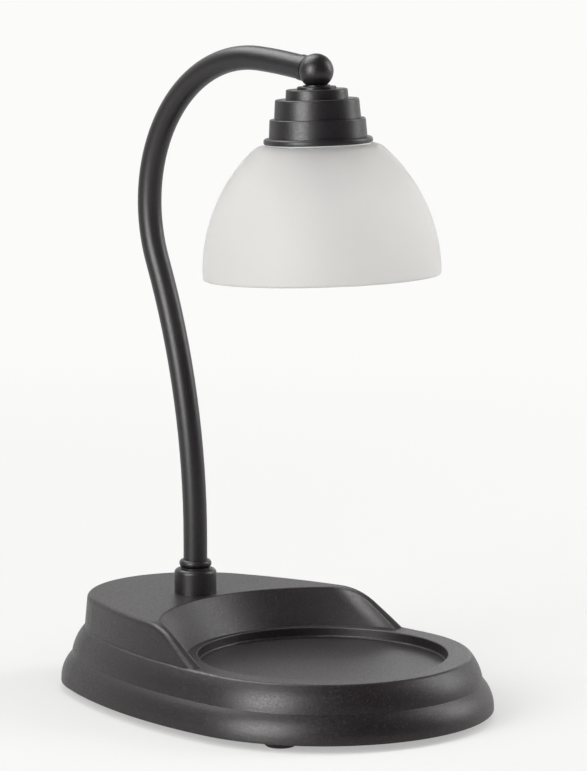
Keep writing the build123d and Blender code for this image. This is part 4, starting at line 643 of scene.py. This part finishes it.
def facets(along, turn):
    """Ring of the faceted mirror, each row of flats turned by half a flat."""
    side = 2 * pi / facet_count
    return lambda angle: (mirror_radius(along, glass_wall) * cos(side / 2)
                          / cos((angle + turn * side / 2) % side - side / 2), along)


depths = [mirror_top + mirror_length * row / mirror_steps for row in range(mirror_steps + 1)]
outside = [(11.0, mirror_top)] + [(mirror_radius(depth), depth) for depth in depths]
inside = [facets(mirror_bottom - facet_depth * row / facet_rows, row % 2) for row in range(facet_rows + 1)]
neck_hole = [(6.2, mirror_top + 1.4), (6.2, mirror_top + 0.3)]
mirror = bmesh.new()
spin(mirror, outside + inside + neck_hole, steps=168, place=head_place)
piece(mirror, "faceted_reflector", "bulb", mirrored, "reflector", "bulb_reflector", crease=4)

# Bulb's lens: a disc of pressed clear glass, sealed into the reflector's wide end.
# Its inner face is pebbled to soften the light, and its outer face is smooth.
pebble_mm, pebble_height, pebble_base = 3.1, 0.12, 0.15


def pebble(out, along):
    """Ring of the lens's inner face, pressed into small round pebbles."""
    def at(angle):
        ripple = pebble_height * cos(out * 2 * pi / pebble_mm) * cos(angle * round(out * 2.0))
        return out, along + pebble_base + ripple
    return at


inner_face = [pebble(0.8 * row + 0.2, mirror_bottom) for row in range(29)]
rim_and_front = [(24.0, 0), (24.6, 0.1), (24.6, 1.0), (24.2, 1.6), (23.4, 1.8), (18, 1.9), (12, 1.96),
                 (6, 2.0), (0.2, 2.0)]
lens = bmesh.new()
spin(lens, inner_face + [(out, mirror_bottom + drop) for out, drop in rim_and_front],
     steps=168, place=head_place, closed=False)
piece(lens, "pressed_lens", "bulb", clear, "clear_glass", "bulb_lens", crease=60)

# Burner: a small capsule of clear quartz tube, closed by pinching it flat while hot.
# The pinched end is cemented into the reflector's neck.
capsule_top, pinch_length, pinch_squeeze = 46.05, 7.5, 0.45


def pinched(out, drop):
    """Ring of the capsule, pressed flat over its pinch."""
    squeeze = pinch_squeeze if drop < pinch_length else 1.0
    return lambda angle: (out * (cos(angle) ** 2 + (squeeze * sin(angle)) ** 2) ** 0.5, capsule_top + drop)


skin = [(1.2, 0.0), (4.9, 0.1), (5.2, 0.6), (5.2, 7.0), (4.6, 8.0), (4.6, 15.0), (4.4, 17.5), (3.8, 19.4),
        (2.6, 20.9), (1.2, 21.8), (0.1, 22.0)]
hollow = [(0.1, 21.0), (1.0, 20.8), (2.1, 20.1), (3.1, 18.8), (3.6, 17.2), (3.8, 15.0), (3.8, 9.5),
          (2.4, 8.4), (0.1, 8.2)]
capsule = bmesh.new()
spin(capsule, [pinched(out, drop) for out, drop in skin], steps=64, place=head_place, closed=False)
skin_faces = set(capsule.faces)
spin(capsule, [(out, capsule_top + drop) for out, drop in hollow],
     steps=64, place=head_place, closed=False)
piece(capsule, "quartz_capsule", "bulb", clear, "clear_glass", "bulb_capsule",
      cavity=[face for face in capsule.faces if face not in skin_faces])

# Filament: tungsten wire wound into a coil of twenty turns that lies across the capsule.
# Its two straight ends are held in the pinch. The wire is drawn thicker than life, so that it shows.
# Drawn tungsten: dark grey metal with a dull gleam.
tungsten = plated("drawn_tungsten", pale="#8a8a8c", dark="#6f6f72", roughness=0.4)
wire_radius, leg_x, leg_drop = 0.00012, 2.2, 12.5
coil_length, coil_radius, coil_drop, coil_turns, turn_steps = 3.8, 0.55, 13.0, 20, 12
coil_steps = coil_turns * turn_steps
path = [(-leg_x, 0, 1.0), (-leg_x, 0, leg_drop)]
for step in range(coil_steps + 1):
    angle = 2 * pi * step / turn_steps
    path.append((coil_length * (step / coil_steps - 0.5), coil_radius * cos(angle),
                 coil_drop + coil_radius * sin(angle)))
path += [(leg_x, 0, leg_drop), (leg_x, 0, 1.0)]

coil = bpy.data.curves.new("filament", "CURVE")
coil.dimensions = "3D"
coil.bevel_depth = wire_radius
coil.bevel_resolution = 3
coil.use_fill_caps = True
strand = coil.splines.new("POLY")
strand.points.add(len(path) - 1)
for point, (x, y, drop) in zip(strand.points, path):
    point.co = (*(head_place @ Vector((x, y, capsule_top + drop))), 1)
filament = bpy.data.objects.new("filament", coil)
bpy.context.scene.collection.objects.link(filament)
coil.materials.append(tungsten)
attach(filament, "bulb")

# Bulb base: a plug of the same glazed ceramic as the lampholder, cemented to the reflector's neck.
# Its edges are rounded, and a shallow groove runs round it a third of the way down.
plug_rings = [(0.1, 0), (11.6, 0), (12.1, 0.2), (12.4, 0.8), (12.4, 3.2), (12.0, 3.5), (12.0, 4.1),
              (12.4, 4.4), (12.4, 9.6), (12.2, 10.5), (11.5, 11.0), (0.1, 11.0)]
plug = bmesh.new()
spin(plug, [(out, bulb_top + drop) for out, drop in plug_rings], steps=96, place=head_place, closed=False)
piece(plug, "ceramic_plug", "bulb", ceramic, "ceramic", "bulb_base")

# Bulb pins: two headed nickel pins, set in the plug ten millimetres apart.
# They drop into the lampholder's keyholes and lock with a twist.
pin_x = 5
pin_rings = [(0.05, 28.85), (1.6, 28.85), (2.2, 29.0), (2.5, 29.4), (2.5, 30.3), (2.3, 30.65), (1.5, 30.65),
             (1.5, 32.6), (1.4, 33.65), (0.05, 33.65)]
pins = bmesh.new()
for across in (pin_x, -pin_x):
    pin_place = head_place @ Matrix.Translation((across, 0, 0))
    spin(pins, pin_rings, steps=48, place=pin_place, closed=False)
# Nickel: bright with a slight yellow warmth and sharp gleams.
nickel = plated("nickel_pins", pale="#cfcdc8", dark="#b9b6b0", roughness=0.24)
piece(pins, "button_pins", "bulb", nickel, "pin_nickel", "bulb_pins")
